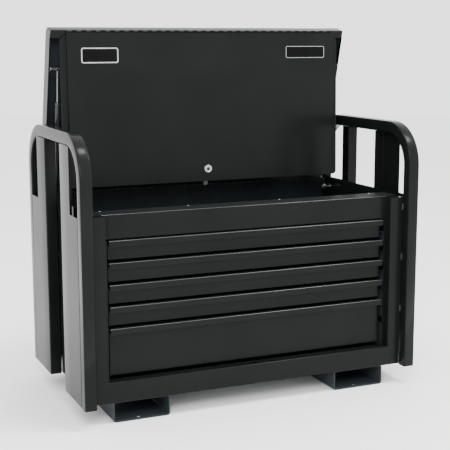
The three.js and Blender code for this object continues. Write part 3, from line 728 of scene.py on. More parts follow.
# One sheet from the lip's bottom edge up, back over the lip's top and down as the face. The face stops short of
# the lip at both ends, and a small plate closes each end of the lip.
def buildDrawerFront(number):
    shape = drawerShape
    body = f"drawer_{number}"
    lo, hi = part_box(f"{body}_front")
    depth = hi.y - lo.y
    line, _ = softPath([(0, -shape["lipHeight"]), (0, 0), (depth, 0), (depth, lo.z - hi.z + shape["faceRaise"])],
                       (shape["lipRadius"], shape["backRadius"]), shape["foldSteps"])
    lengths = alongLine(line)
    lipEnd = lengths[shape["foldSteps"] + 2]
    x = np.array([lo.x, lo.x + shape["faceShort"], 0.0, hi.x - shape["faceShort"], hi.x])

    def place(s, t):
        v, w = follow(line, s)
        return np.stack([t, lo.y + v, hi.z + w], -1)

    made = sheetGrid(place, lengths, x, drop=lambda a, b: (a > lipEnd) & ((b < x[1]) | (b > x[3])))
    piece = addPiece(f"{body}_face", made, body, [f"{body}_front"], "powder_coat", outerCoat, thick=sheet,
                     inside=(0, lo.y + depth * 0.6, (lo.z + hi.z) / 2), bevel=shape["bevel"])
    # Painted highlight: the lip's top front fold takes the lighter coat as its bright line
    recoat(piece, foldHighlightCoat, 0.5, 0.96, lo.y + shape["lipRadius"])
    inset, foot, back = shape["capInset"], shape["capFoot"] - shape["lipHeight"], depth - shape["capBack"]
    outline, _ = softPath([(inset, foot), (inset, -inset), (back, -inset), (back, -shape["capDrop"]),
                           (shape["capToe"], foot)],
                          (shape["lipRadius"], shape["capRadius"], shape["capRadius"]), shape["capSteps"])
    for end, edge, way in (("left", lo.x, 1), ("right", hi.x, -1)):
        made = carried(outline, lambda u, v, w: np.stack([edge + way * w, lo.y + u, hi.z + v], -1),
                       [inset, shape["capThick"]][::way])
        addPiece(f"{body}_{end}_lip_end", made, body, None, "powder_coat", outerCoat, bevel=shape["capBevel"])


boxShape = {"ribWidth": 0.008, "sideInset": 0.0085, "wall": 0.0013, "rimRadius": 0.0015, "foldRadius": 0.003,
            "foldSteps": 4, "rimWidth": 0.006, "bevel": 0.0004}
slideShape = {"height": 0.0078, "reach": 0.0175, "wall": 0.0014, "front": 0.036, "back": 0.004, "gap": 0.0002,
              "bevel": 0.0003}


# A folded tray: each wall rises from the floor round a fold and turns out into a narrow rim. A channel, carried
# front to back, stands beside it at each runner's height.
def buildDrawerBox(number):
    shape = boxShape
    body = f"drawer_{number}"
    lo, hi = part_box(f"{body}_box")
    x0 = lo.x + shape["ribWidth"] + shape["sideInset"]
    x1 = hi.x - shape["ribWidth"] - shape["sideInset"]
    wide, deep, high = x1 - x0, hi.y - lo.y, hi.z - lo.z
    section, _ = softPath([(-shape["rimWidth"], 0), (0, 0), (0, -high), (0.02, -high)],
                          (shape["rimRadius"], shape["foldRadius"]), shape["foldSteps"])
    corner = np.array([[0, 0, 1, 1], [1, 0, -1, 1], [1, 1, -1, -1], [0, 1, 1, -1]], float)
    inward = section[:-1, 0]

    def place(s, t):
        s, t = s.astype(int), t.astype(int)
        rim = np.clip(inward[s], 0, 1)
        sidewise = np.clip(inward[s], -shape["rimWidth"], 1)
        return np.stack([x0 + corner[t, 0] * wide + corner[t, 2] * sidewise,
                         lo.y + corner[t, 1] * deep + corner[t, 3] * rim, hi.z + section[s, 1]], -1)

    points, faces = sheetGrid(place, np.arange(len(inward)), np.arange(4))
    last = (len(inward) - 1) * 4
    closing = [[i * 4 + 3, (i + 1) * 4 + 3, (i + 1) * 4, i * 4] for i in range(len(inward) - 1)]
    faces += closing + [[last, last + 1, last + 2, last + 3]]
    addPiece(f"{body}_tray", (points, faces), body, [f"{body}_box"], "inner_coat", innerCoatAndPaintedFill, thick=shape["wall"],
             inside=(0, (lo.y + hi.y) / 2, hi.z + 0.2), bevel=shape["bevel"])
    runnerLo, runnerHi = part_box(f"left_runner_{number}")
    middle = (runnerLo.z + runnerHi.z) / 2
    h, reach, wall = slideShape["height"], slideShape["reach"], slideShape["wall"]
    outline = np.array([(0, -h), (reach, -h), (reach, -h + wall), (wall, -h + wall), (wall, h - wall),
                        (reach, h - wall), (reach, h), (0, h)])
    for side, sign in sides:
        start = x0 - reach - slideShape["gap"] if side == "left" else x1 + reach + slideShape["gap"]
        made = carried(outline, lambda u, v, w: np.stack([start + sign * u, w, middle + v], -1),
                       np.linspace(lo.y + slideShape["front"], hi.y - slideShape["back"], 3))
        addPiece(f"{body}_{side}_slide", made, body, None, "zinc", zincPlate, bevel=slideShape["bevel"])


for number in range(1, 6):
    buildDrawerFront(number)
    buildDrawerBox(number)
print("drawers made")

pocketShape = {"cornerRadius": 0.0095, "cornerSteps": 5, "wall": 0.004, "holeRadius": 0.0075, "holeInset": 0.022,
               "holeShift": -0.006, "block": 0.0125, "cells": 8, "bevel": 0.0009}


# A rounded rectangle carried front to back, with the floor bolt's hole through its underside.
def buildPocket(side):
    shape = pocketShape
    lo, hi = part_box(f"{side}_fork_pocket")
    wide, high = hi.x - lo.x, hi.z - lo.z
    loop = softLoop(wide, high, shape["cornerRadius"], shape["cornerSteps"])
    closed = np.concatenate([loop, loop[:1]])
    lengths = alongLine(closed)
    floorStart = lengths[shape["cornerSteps"]]
    across = wide / 2 + shape["holeShift"] - shape["cornerRadius"]

    def place(s, t):
        u, w = follow(closed, s)
        return np.stack([(lo.x + hi.x) / 2 + u, t, (lo.z + hi.z) / 2 + w], -1)

    hole = (floorStart + across, lo.y + shape["holeInset"], shape["holeRadius"], shape["block"], shape["cells"])
    made = sheetGrid(place, lengths, np.array([lo.y, hi.y]), holes=[hole])
    # Painted light: the pocket tubes take the lighter inner coat to brighten their shaded insides
    addPiece(f"{side}_pocket_tube", made, "chest", [f"{side}_fork_pocket"], "powder_coat", innerCoatAndPaintedFill,
             thick=shape["wall"], inside=((lo.x + hi.x) / 2, (lo.y + hi.y) / 2, (lo.z + hi.z) / 2),
             bevel=shape["bevel"])


for side in ("left", "right"):
    buildPocket(side)
print("fork pockets made")

lidShape = {"noseRadius": 0.030, "foldRadius": 0.0030, "foldSteps": 5, "noseSteps": 10, "backRadius": 0.004,
            "returnDepth": 0.027, "rimRadius": 0.0035, "leastRim": 0.0008, "leastBack": 0.001, "bevel": 0.0006}


# The pan's skin runs from the front return's back edge forward, round the front fold, up and over the nose,
# along the top and down the back. Towards each side the whole profile shrinks by one minus the cosine of a
# quarter turn while it moves out by its sine, and one flat face closes each side.
def buildLid():
    shape = lidShape
    lo, hi = localBox("lid", lidPin, lidOpen)
    front, back, rim, top = lo[1], hi[1], lo[2], hi[2]
    r = shape["foldRadius"]
    turn = np.linspace(0, np.pi / 2, shape["foldSteps"] + 1)
    shrink, out = r * (1 - np.cos(turn)), r * np.sin(turn)
    profiles = []
    for inset in shrink:
        low, near, high, far = rim + inset, front + inset, top - inset, back - inset
        radii = (max(shape["rimRadius"] - inset, shape["leastRim"]), shape["noseRadius"] - inset,
                 max(shape["backRadius"] - inset, shape["leastBack"]))
        line, _ = softPath([(front + shape["returnDepth"], low), (near, low), (near, high), (far, high), (far, rim)],
                           radii, shape["noseSteps"])
        profiles.append(line)
    profiles = np.array(profiles)
    wideLeft = lo[0] + r - out[::-1]
    wideRight = hi[0] - r + out
    stack = np.concatenate([profiles[::-1], profiles])
    x = np.concatenate([wideLeft, wideRight])

    def place(s, t):
        s, t = s.astype(int), t.astype(int)
        return onLid(x[t], stack[t, s, 0], stack[t, s, 1])

    n, m = profiles.shape[1], len(x)
    points, faces = sheetGrid(place, np.arange(n), np.arange(m))
    faces += [(np.arange(n) * m).tolist(), (np.arange(n)[::-1] * m + m - 1).tolist()]
    inside = onLid(0.0, np.array((front + back) / 2), np.array(top * 0.4))
    piece = addPiece("lid_pan", (points, faces), "lid", ["lid"], "powder_coat", outerCoat, thick=sheet,
                     inside=inside, bevel=shape["bevel"])
    # Painted light: the pan's inner side takes the lighter inner coat
    piece.data.materials.append(innerCoatAndPaintedFill)
    piece.modifiers["wall"].material_offset = 1
    return lo, hi


lidLo, lidHi = buildLid()
print("lid made", lidLo, lidHi)

coverShape = {"flangeWidth": 0.0231, "joggle": 0.009, "foldRadius": 0.0024, "cornerRadius": 0.012, "cornerSteps": 7,
              "flangeDrop": 0.008, "bevel": 0.0005, "sharp": 28, "lockHole": 0.0098, "block": 0.018, "cells": 8,
              "heights": (-0.3, -0.1), "hemHeight": 0.020, "hemRadius": 0.0025, "hemShort": 0.003, "hemLift": 0.0002,
              "hemWall": 0.0016, "hemBevel": 0.0004}


# One skin across the cover: flange, back-set fold, panel, and the same again. Its height at each point across
# is set by the flange's rounded corners (radius less the root of radius squared less distance squared). The hem
# is a second sheet, folded back along the bottom.
def buildCover(lockZ):
    shape = coverShape
    lo, hi = localBox("drawer_cover", coverPin, coverTilt)
    r = shape["foldRadius"]
    wide, top, bottom, face = hi[0], hi[2], lo[2], lo[1]
    panel = wide - shape["flangeWidth"]
    flange = face + shape["joggle"]
    line, _ = softPath([(wide, flange), (panel, flange), (panel, face), (0, face)], (r, r), 5)
    edge = wide - shape["cornerRadius"] * (1 - np.cos(np.linspace(0, np.pi / 2, shape["cornerSteps"])))
    lengths = alongLine(line)
    s = np.unique(np.round(np.concatenate([wide - edge, lengths]), 7))
    total = lengths[-1]

    def place(s, t):
        mirrored = np.minimum(s, 2 * total - s)
        u, v = follow(line, mirrored)
        u = np.where(s > total, -u, u)
        away = np.clip(shape["cornerRadius"] - (wide - abs(u)), 0, shape["cornerRadius"])
        cut = shape["cornerRadius"] - np.sqrt(shape["cornerRadius"] ** 2 - away ** 2)
        high = np.where(abs(u) > panel + 1e-6, top - shape["flangeDrop"], top) - cut
        low = bottom + cut
        share = (t - bottom) / (top - bottom)
        z = np.where(away > 0, low + share * (high - low), np.minimum(t, high))
        return onCover(-u, v, z)

    s = np.unique(np.round(np.concatenate([s, 2 * total - s]), 7))
    flangeTop = top - shape["flangeDrop"]
    z = np.array([bottom, bottom + shape["cornerRadius"] + 0.001, *shape["heights"], flangeTop, top])
    hole = (total, lockZ, shape["lockHole"], shape["block"], shape["cells"])
    flangeEnd = wide - panel + 1e-5
    made = sheetGrid(place, s, z, holes=[hole],
                     drop=lambda a, b: (b > flangeTop) & ((a < flangeEnd) | (a > 2 * total - flangeEnd)))
    inside = onCover(0.0, np.array(0.4), np.array((top + bottom) / 2))
    addPiece("cover_panel", made, "drawer_cover", ["drawer_cover"], "powder_coat", outerCoat, thick=sheet,
             inside=inside, bevel=shape["bevel"], sharp=shape["sharp"])
    front, lift = face + sheet + seamGap, shape["hemLift"]
    hem, _ = softPath([(front, shape["hemHeight"]), (front, lift), (hi[1], lift)], shape["hemRadius"], 5)

    def placeHem(s, t):
        v, w = follow(hem, s)
        return onCover(t, v, bottom + w)

    end = panel - shape["hemShort"]
    made = sheetGrid(placeHem, alongLine(hem), np.array([-end, 0, end]))
    addPiece("cover_hem", made, "drawer_cover", None, "powder_coat", outerCoat, thick=shape["hemWall"],
             inside=onCover(0.0, np.array(0.05), np.array(bottom + 0.05)), bevel=shape["hemBevel"])
    return lo, hi


lockLo, lockHi = localBox("lock_barrel", coverPin, coverTilt)
plugLo, plugHi = localBox("lock_plug", coverPin, coverTilt)
lockZ = (lockLo[2] + lockHi[2]) / 2
coverLo, coverHi = buildCover(lockZ)
print("drawer cover made", coverLo, coverHi)

lockShape = {"edge": 0.0008, "play": 0.0003, "barrelRadius": 0.0095, "sides": 36, "sharp": 35,
             "face": ((0.0006, 0.0), (0.0002, 0.0004), (0.0002, 0.0016), (0.0007, 0.0020), (0.0007, 0.0034),
                      (0.0, 0.0042)),
             "plugSides": 32, "keyWide": 0.0015, "keyHigh": 0.0048, "keyDeep": 0.007, "plugEdge": 0.0005}


# Bezel and barrel are one profile turned about the lock's axis, from the plug's bore out over the rounded face
# and back along the barrel. The plug is a turned face round a keyhole, made as rings between a slot and a
# circle.
def buildLock():
    shape = lockShape
    axis = onCover(0.0, np.array(1.0), np.array(0.0)) - onCover(0.0, np.array(0.0), np.array(0.0))
    centre = onCover(0.0, np.array(0.0), np.array(lockZ))
    outer = (lockHi[0] - lockLo[0]) / 2
    radius = (plugHi[0] - plugLo[0]) / 2
    bore = radius + shape["play"]
    front, back = lockLo[1], lockHi[1]
    skin = coverLo[1] - seamGap
    e = shape["edge"]
    turn = np.linspace(0, np.pi / 2, 4)
    rounded = np.stack([front + e - e * np.cos(turn), outer - e + e * np.sin(turn)], 1)
    barrel = shape["barrelRadius"]
    profile = np.concatenate([
        [(back, bore)], np.array(shape["face"]) + [front, bore], rounded,
        [(skin, outer), (skin, barrel), (back, barrel), (back, bore)],
    ])
    made = spun(profile, centre, axis, shape["sides"])
    addPiece("lock_bezel", made, "drawer_cover", ["lock_barrel"], "chrome", lockNickel, sharp=shape["sharp"])
    sides = shape["plugSides"]
    angle = np.arange(sides) * 2 * np.pi / sides
    circle = np.stack([np.cos(angle), np.sin(angle)], 1)
    slot = np.stack([shape["keyWide"] * np.sign(np.cos(angle)) * abs(np.cos(angle)) ** 0.3,
                     shape["keyHigh"] * np.sign(np.sin(angle)) * abs(np.sin(angle)) ** 0.6], 1)
    eased = shape["plugEdge"]
    rings = [(slot, front + shape["keyDeep"]), (slot, front + 0.0003), (slot * 1.08, front + 0.0001),
             (circle * (radius - eased), front), (circle * radius, front + eased), (circle * radius, plugHi[1])]
    points = np.concatenate([onCover(flat[:, 0], np.full(sides, depth), lockZ + flat[:, 1]) for flat, depth in rings])
    around = np.arange(sides)
    faces = ringFaces(sides, len(rings)) + [around[::-1].tolist(), (around + (len(rings) - 1) * sides).tolist()]
    addPiece("lock_key_plug", (points, faces), "lock", ["lock_plug"], "chrome", runnerSteel, sharp=shape["sharp"])


buildLock()
print("lock made")

badgeShape = {"left": {"corner": 0.0075, "rim": 0.0042, "rise": 0.0012, "lip": 0.0006},
              "right": {"corner": 0.0060, "rim": 0.0019, "rise": 0.0008, "lip": 0.0004},
              "leastCorner": 0.0008, "cornerSteps": 6, "sharp": 40, "fieldGap": 0.0003, "fieldBevel": 0.0002}


# A blank plate: rounded rectangles stacked from the foot over a raised rim down to a flat field.
def buildBadge(side):
    shape = badgeShape[side]
    lo, hi = localBox(f"{side}_badge_plate", coverPin, coverTilt)
    wide, high = hi[0] - lo[0], hi[2] - lo[2]
    middleX, middleZ = (lo[0] + hi[0]) / 2, (lo[2] + hi[2]) / 2
    foot, crest = hi[1], lo[1]
    rim, lip, floor = shape["rim"], shape["lip"], crest + shape["rise"]

    def outline(inset, less=0.0):
        corner = max(shape["corner"] - inset, badgeShape["leastCorner"])
        return softLoop(wide - 2 * inset - less, high - 2 * inset - less, corner, badgeShape["cornerSteps"])

    def ring(inset, depth):
        loop = outline(inset)
        return onCover(middleX + loop[:, 0], np.full(len(loop), depth), middleZ + loop[:, 1])

    rings = [ring(0, foot), ring(0, crest + lip), ring(lip, crest), ring(rim - lip, crest),
             ring(rim, crest + lip), ring(rim, floor), ring(rim + 0.0002, foot)]
    n = len(rings[0])
    around, last = np.arange(n), (len(rings) - 1) * n
    after = (around + 1) % n
    faces = ringFaces(n, len(rings)) + np.stack([last + around, last + after, after, around], -1).tolist()
    addPiece(f"{side}_badge_rim", (np.concatenate(rings), faces), "drawer_cover", [f"{side}_badge_plate"], "badge",
             brushedPlate, sharp=badgeShape["sharp"])
    made = carried(outline(rim, badgeShape["fieldGap"]), lambda u, v, w: onCover(middleX + u, w, middleZ + v),
                   [floor, foot])
    addPiece(f"{side}_badge_field", made, "drawer_cover", None, "dark_steel", fieldBlackAndHingeShade,
             bevel=badgeShape["fieldBevel"])


for side in ("left", "right"):
    buildBadge(side)
print("badges made")

hingeShape = {"knuckle": 0.017, "gap": 0.0004, "sides": 14, "ease": 0.0005, "leaf": 0.0015, "bore": 0.0017,
              "radius": 0.0032, "tuck": 0.0004, "rivetPitch": 0.068, "rivetRadius": 0.0036, "rivetHeight": 0.0011,
              "rivetSunk": 0.0002, "rivetSides": 10, "endInset": 0.004, "pastPin": 0.002}


# Rolled knuckles every second place: a ring profile eased at both ends, turned about the pin.
def knuckleRow(place, start, end, first):
    shape = hingeShape
    e, radius, bore = shape["ease"], shape["radius"], shape["bore"]
    length = (end - start) / int(round((end - start) / shape["knuckle"]))
    angle = np.arange(shape["sides"]) * 2 * np.pi / shape["sides"]
    places = np.arange(first, int(round((end - start) / length)), 2)
    a = start + places * length + shape["gap"] / 2
    b = a + length - shape["gap"]
    along = np.stack([a, a, a + e, b - e, b, b], 1)
    out = np.array([bore, radius - e, radius, radius, radius - e, bore])
    x = np.broadcast_to(along[:, None, :], (len(a), len(angle), len(out)))
    y = out[None, None, :] * np.cos(angle)[None, :, None] + 0 * x
    z = out[None, None, :] * np.sin(angle)[None, :, None] + 0 * x
    points = place(x.ravel(), y.ravel(), z.ravel())
    cell = gridFaces(len(angle), len(out), placesClose=True)
    faces = (cell[None] + (np.arange(len(a)) * len(angle) * len(out))[:, None, None]).reshape(-1, 4)
    return points, faces.tolist()


# The leaf's outline in (along, out): a straight far edge, and a near edge that steps to the pin at each tab.
def leafWithTabs(place, start, end, first, flat, near, far, tabTo):
    shape = hingeShape
    places = np.arange(int(round((end - start) / shape["knuckle"])))
    length = (end - start) / len(places)
    own = (places % 2) == (first % 2)
    x = np.repeat(start + np.arange(len(places) + 1) * length, 2)[1:-1]
    edge = np.repeat(np.where(own, tabTo, near), 2)
    inset = np.tile([shape["gap"] / 2, -shape["gap"] / 2], len(places)) * np.repeat(np.where(own, 1, -1), 2)
    x = x + inset
    x[0], x[-1] = start, end
    n = len(x)
    rows = [(edge, flat[0]), (np.full(n, far), flat[0]), (np.full(n, far), flat[1]), (edge, flat[1])]
    points = np.concatenate([place(x, out, np.full(n, level)) for out, level in rows])
    i = np.arange(n - 1)
    faces = [np.stack([a * n + i, a * n + i + 1, b * n + i + 1, b * n + i], -1)
             for a, b in ((0, 1), (1, 2), (2, 3), (3, 0))]
    return points, np.concatenate(faces).tolist() + [[0, n, 2 * n, 3 * n], [4 * n - 1, 3 * n - 1, 2 * n - 1, n - 1]]


# Low domes at an even pitch: the radius falls off as a quarter ellipse with height.
def rivetRow(place, start, end, out, level):
    shape = hingeShape
    x = np.arange(start + shape["rivetPitch"] / 2, end, shape["rivetPitch"])
    turn = np.linspace(0, np.pi / 2, 4)
    angle = np.arange(shape["rivetSides"]) * 2 * np.pi / shape["rivetSides"]
    r = np.concatenate([[shape["rivetRadius"]], shape["rivetRadius"] * np.cos(turn)])
    h = np.concatenate([[-shape["rivetSunk"]], shape["rivetHeight"] * np.sin(turn)])
    gx = x[:, None, None] + r[None, None, :] * np.cos(angle)[None, :, None]
    gy = out + r[None, None, :] * np.sin(angle)[None, :, None] + 0 * gx
    gz = level + h[None, None, :] + 0 * gx
    points = place(gx.ravel(), gy.ravel(), gz.ravel())
    n, m = len(angle), len(r)
    cell = gridFaces(n, m).tolist() + [(np.arange(n)[::-1] * m).tolist()]
    faces = [[v + k * n * m for v in face] for k in range(len(x)) for face in cell]
    return points, faces


# Each leaf is one piece with its own knuckles, and its rivets are another. A leaf lies along the row, at a level
# above or behind the pin, from its near edge to its far one, and its tabs reach just past the pin.
def buildHinges():
    shape = hingeShape
    r, leaf = shape["radius"], shape["leaf"]
    tuck = r - shape["tuck"]
    rearLo, _ = localBox("lid_hinge_chest_leaf", lidPin, 0)
    _, upperHi = localBox("lid_hinge_lid_leaf", lidPin, lidOpen)
    flapLo, _ = localBox("cover_hinge_cover_leaf", coverPin, coverTilt)
    _, edgeHi = localBox("cover_hinge_lid_leaf", coverPin, lidOpen)
    leaves = [
        ("lid_hinge_chest", "chest", "lid_hinge_chest_leaf", lidPin, 0, 0, -r, -tuck, rearLo[2], hingeBlack),
        ("lid_hinge_upper", "lid", "lid_hinge_lid_leaf", lidPin, lidOpen, 1, -r, tuck, upperHi[2], hingeBlack),
        # Painted shade and light: the cover hinge's lower leaf is near-black for the dark gaps between knuckles, and
        # its upper knuckles take the lighter inner coat
        ("cover_hinge_lower", "drawer_cover", "cover_hinge_cover_leaf", coverPin, coverTilt, 1, -r, -tuck, flapLo[2],
         fieldBlackAndHingeShade),
        ("cover_hinge_upper", "lid", "cover_hinge_lid_leaf", coverPin, lidOpen, 0, r - leaf, tuck, edgeHi[1],
         innerCoatAndPaintedFill),
    ]
    for name, body, node, pin, angle, first, low, near, far, coat in leaves:
        rear, standing = pin is lidPin, name != "cover_hinge_upper"
        start, end = rearSpan if rear else coverSpan

        def place(x, y, z):
            return turnedAt(pin, angle, x, y, z)

        def placeLeaf(x, out, level):
            return place(x, level, out) if standing else place(x, out, level)

        tabTo = math.copysign(seamGap, near)
        made = leafWithTabs(placeLeaf, start, end, first, (low, low + leaf), near, far, tabTo)
        row = knuckleRow(place, start, end, first)
        addPiece(f"{name}_leaf", made, body, [node], "dark_steel", coat, sharp=30)
        addPiece(f"{name}_knuckles", row, body, None, "dark_steel", coat, sharp=40)
        if rear:
            rivets = rivetRow(placeLeaf, start, end, (near + far) / 2, low + leaf)
            addPiece(f"{name}_rivets", rivets, body, None, "dark_steel", hingeBlack, sharp=50)


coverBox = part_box("cover_hinge_pin")
rearSpan = (lidLo[0] + hingeShape["endInset"], lidHi[0] - hingeShape["endInset"])
coverSpan = (coverBox[0].x - hingeShape["pastPin"] - coverPin[0], coverBox[1].x + hingeShape["pastPin"] - coverPin[0])
buildHinges()
print("hinges made")

strutShape = {
    "sides": 24, "sharp": 35, "tubeRadius": 0.0090, "tubeStart": 0.045, "tubeEnd": 0.358, "rodRadius": 0.0040,
    "rodStart": 0.334, "fitting": 0.028, "eyeRadius": 0.0080, "mouthGap": 0.0004, "mouthDepth": 0.009,
    "neck": ((0.0078, 0), (0.0078, 0.0044), (0.0100, 0.0052), (0.030, 0.0052), (0.0305, 0.0048)),  # from the pivot
    "shoulder": ((-0.002, 0.0048), (0.0, 0.0062), (0.0012, 0.0082), (0.0030, 0.0090)),  # from the tube's start
    "groove": ((-0.018, 0.0), (-0.0165, -0.0011), (-0.0150, -0.0011), (-0.0135, 0.0), (-0.0030, 0.0),
               (-0.0008, -0.0012), (0.0, -0.0030)),  # from the tube's end and its radius
    "socket": ((-0.008, 0), (-0.008, 0.0083), (-0.0068, 0.0095), (0.0068, 0.0095), (0.008, 0.0083), (0.008, 0.0064),
               (0.0065, 0.0058), (0.0, 0.0058), (-0.005, 0.003), (-0.0052, 0)),
    "piston": ((-0.0005, 0), (-0.0005, 0.006), (0.001, 0.007), (0.007, 0.007), (0.008, 0.006), (0.008, 0)),
    "ferrule": ((-0.0005, 0), (-0.0005, 0.0048), (0.001, 0.0056), (0.008, 0.0056), (0.009, 0.0050)),
    "stem": ((-0.006, 0.0050), (-0.004, 0.0036), (-0.004, 0)),  # back from the eye's middle
    "eye": ((-0.0080, 0), (-0.0080, 0.0068), (-0.0068, 0.0080), (0.0068, 0.0080), (0.0080, 0.0068), (0.0080, 0.0042),
            (0.002, 0.0036), (0.002, 0)),
}


# Turned parts on the strut's own line, from its lower pivot towards its upper one. An outline gives (distance,
# radius) pairs, and is moved along to where its part begins.
def buildStrut(side, sign):
    shape = strutShape
    base = np.array(joints[f"{side}_strut_pivot"]["pos_m"])
    _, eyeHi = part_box(f"{side}_strut_rod")
    slide = np.array(joints[f"{side}_strut_slide"]["axis"], float)
    axis = slide / np.linalg.norm(slide) * (1 if slide[2] > 0 else -1)
    inward = np.array([-float(sign), 0.0, 0.0])
    length = (eyeHi.z - shape["eyeRadius"] - base[2]) / axis[2]
    start, end = shape["tubeStart"], shape["tubeEnd"]
    rodFrom, rodTo, rodRadius = shape["rodStart"], length - shape["fitting"], shape["rodRadius"]
    mouth = rodRadius + shape["mouthGap"]

    def moved(outline, along, out=0.0):
        return np.array(shape[outline]) + [along, out]

    def turned(outline, at=base, line=axis):
        return spun(outline, at, line, shape["sides"])

    tube = np.concatenate([
        shape["neck"], moved("shoulder", start), moved("groove", end, shape["tubeRadius"]),
        [(end, mouth), (end - shape["mouthDepth"], mouth), (end - shape["mouthDepth"], 0)],
    ])
    rod = [(rodFrom, 0), (rodFrom, rodRadius), (rodTo, rodRadius), (rodTo, 0)]
    fitting = np.concatenate([moved("ferrule", rodTo), moved("stem", length)])
    parts = [
        ("tube", turned(tube), "cylinder", True, "dark_steel", glossBlack),
        ("socket", turned(shape["socket"], base, inward), "cylinder", False, "zinc", zincPlate),
        ("bright_rod", gathered([turned(rod), turned(moved("piston", rodFrom))]), "rod", True, "zinc", strutRodSteel),
        ("end", gathered([turned(fitting), turned(shape["eye"], base + axis * length, inward)]), "rod", False, "zinc",
         runnerSteel),
    ]
    for name, made, body, replaces, slot, coat in parts:
        body = f"{side}_strut_{body}"
        addPiece(f"{side}_strut_{name}", made, body, [body] if replaces else None, slot, coat, sharp=shape["sharp"])


studShape = {
    "sides": 20, "sharp": 35, "ballRadius": 0.0055, "ballSteps": 12, "ballFrom": 0.78, "neckRadius": 0.0035,
    "neckShort": 0.0045, "collar": ((0, 0), (0, 0.0072), (0.0006, 0.0080), (0.0034, 0.0080), (0.0040, 0.0072),
                                    (0.0040, 0.0046), (0.0052, 0.0035)),
    "upperCollar": ((0, 0), (0, 0.0072), (0.0006, 0.0080), (0.0030, 0.0080), (0.0038, 0.0070), (0.0038, 0.0036)),
    "upperHead": ((-0.0042, 0.0034), (-0.0040, 0.0050), (-0.0034, 0.0055), (-0.0008, 0.0055), (0, 0.0046), (0, 0)),
}


# Ball and collar profiles turned about X: the ball's middle line is an arc of its radius, from a share of half a
# turn down to nothing.
def buildStuds(side, sign):
    shape = studShape
    base = np.array(joints[f"{side}_strut_pivot"]["pos_m"])
    lo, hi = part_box(f"{side}_strut_lower_stud")
    wall = lo.x if side == "left" else hi.x
    reach = abs(base[0] - wall)
    turn = np.linspace(np.pi * shape["ballFrom"], 0, shape["ballSteps"])
    ball = np.stack([reach + shape["ballRadius"] * np.cos(turn), shape["ballRadius"] * np.sin(turn)], 1)
    lower = np.concatenate([shape["collar"], [(reach - shape["neckShort"], shape["neckRadius"])], ball])
    made = spun(lower, (wall, base[1], base[2]), (sign, 0, 0), shape["sides"])
    addPiece(f"{side}_lower_ball_stud", made, "chest", [f"{side}_strut_lower_stud"], "zinc", zincPlate,
             sharp=shape["sharp"])
    lo, hi = localBox(f"{side}_strut_upper_stud", lidPin, lidOpen)
    wall = lo[0] if side == "left" else hi[0]
    at = onLid(wall, (lo[1] + hi[1]) / 2, (lo[2] + hi[2]) / 2)
    upper = np.concatenate([shape["upperCollar"], np.array(shape["upperHead"]) + [hi[0] - lo[0], 0]])
    made = spun(upper, at, (sign, 0, 0), shape["sides"])
    addPiece(f"{side}_upper_stud", made, "lid", [f"{side}_strut_upper_stud"], "zinc", runnerSteel,
             sharp=shape["sharp"])


for side, sign in sides:
    buildStrut(side, sign)
    buildStuds(side, sign)
print("struts made")

# The rear panel takes a lighter copy of the black coat as painted light on its shaded inside face.
keptCoats = {
    "rear_panel": rearLitCoat, "base_panel": innerCoatAndPaintedFill, "compartment_floor": innerCoatAndPaintedFill,
    "left_slide_panel": innerCoatAndPaintedFill, "right_slide_panel": innerCoatAndPaintedFill,
    "lid_hinge_pin": zincPlate, "cover_hinge_pin": zincPlate, "lock_cam": runnerSteel,
}
keptCoats.update({f"{side}_runner_{number}": runnerSteel for side, _ in sides for number in range(1, 6)})
for nodeName, coat in keptCoats.items():
    node = frame["nodes"][nodeName]
    node.data.materials.clear()
    node.data.materials.append(coat)
print("kept nodes finished")

studio = {"floorSize": 14.0, "floorDrop": 0.0004, "floorRings": 24, "floorSides": 64, "floorRough": 0.8,
          "floorTone": (0.96, 0.96, 0.955), "floorFade": 0.985, "sky": (1.0, 1.0, 0.99), "skyStrength": 2.4,
          "key": {"at": (2.1, -1.5, 4.0), "size": 0.8, "power": 110, "aim": (0.1, 0.0, 0.6)},
          "back": {"at": (-1.75, 3.1, 1.25), "size": 2.4, "power": 4, "aim": (-0.7, 0.0, 1.25)},
          "front": {"at": (-1.4, -3.1, 2.4), "size": 1.2, "power": 85, "aim": (0.0, 0.0, 0.9)},
          "top": {"at": (0.3, -1.0, 4.1), "size": 0.7, "power": 80, "aim": (0.0, 0.0, 0.5)}}
camera = {"at": (-1.4962, -3.4645, 1.2180), "yaw": 23.657, "pitch": -9.781, "roll": 0.059, "lens": 85.51,
          "sensor": 36.0, "farthest": 60}


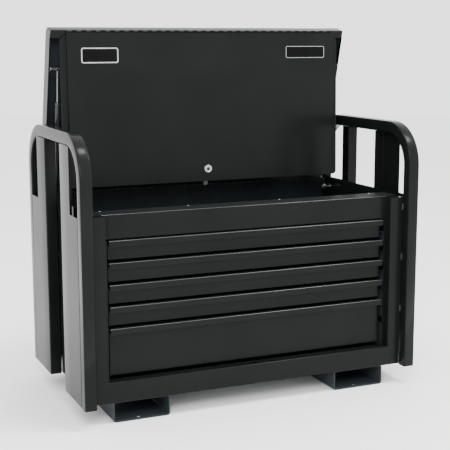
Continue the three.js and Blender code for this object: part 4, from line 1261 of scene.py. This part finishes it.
# A wide flat disc just under the feet, its points on even rings about the middle.
def buildFloor():
    ring = np.linspace(0, 1, studio["floorRings"])
    angle = np.linspace(0, 2 * np.pi, studio["floorSides"] + 1)[:-1]
    r, a = np.meshgrid(ring * studio["floorSize"], angle, indexing="ij")
    points = np.stack([r * np.cos(a), r * np.sin(a), -studio["floorDrop"] + 0 * r], -1).reshape(-1, 3)
    faces = gridFaces(len(ring), len(angle), rowsClose=False, placesClose=True).tolist()
    mesh = bpy.data.meshes.new("studio_floor")
    mesh.from_pydata(points.tolist(), [], faces)
    floor = bpy.data.objects.new("studio_floor", mesh)
    bpy.context.scene.collection.objects.link(floor)
    coat, nodes, links, shader = newCoat("paleFloor")
    mottled = noiseOf(nodes, links, 2.0, 3)
    tone = studio["floorTone"]
    faded = tuple(v * studio["floorFade"] for v in tone)
    links.new(blendOf(nodes, links, mottled, tone, faded), shader.inputs["Base Color"])
    shader.inputs["Roughness"].default_value = studio["floorRough"]
    mesh.materials.append(coat)


def addLight(name):
    values = studio[name]
    lamp = bpy.data.lights.new(f"{name}_light", "AREA")
    lamp.shape, lamp.size, lamp.energy = "SQUARE", values["size"], values["power"]
    light = bpy.data.objects.new(f"{name}_light", lamp)
    bpy.context.scene.collection.objects.link(light)
    at, aim = np.array(values["at"]), np.array(values["aim"])
    light.location = at
    light.rotation_mode = "QUATERNION"
    light.rotation_quaternion = type(light.location)(aim - at).to_track_quat("-Z", "Y")


buildFloor()
for name in ("key", "back", "front", "top"):
    addLight(name)
world = bpy.data.worlds.new("paleStudio")
world.use_nodes = True
world.node_tree.nodes["Background"].inputs["Color"].default_value = (*studio["sky"], 1)
world.node_tree.nodes["Background"].inputs["Strength"].default_value = studio["skyStrength"]
bpy.context.scene.world = world
lens = bpy.data.cameras.new("view_camera")
lens.lens, lens.sensor_width, lens.clip_end = camera["lens"], camera["sensor"], camera["farthest"]
viewer = bpy.data.objects.new("view_camera", lens)
bpy.context.scene.collection.objects.link(viewer)
viewer.location = camera["at"]
viewer.rotation_euler = [math.radians(turn) for turn in (90 + camera["pitch"], camera["roll"], -camera["yaw"])]
bpy.context.scene.camera = viewer
print("studio made")
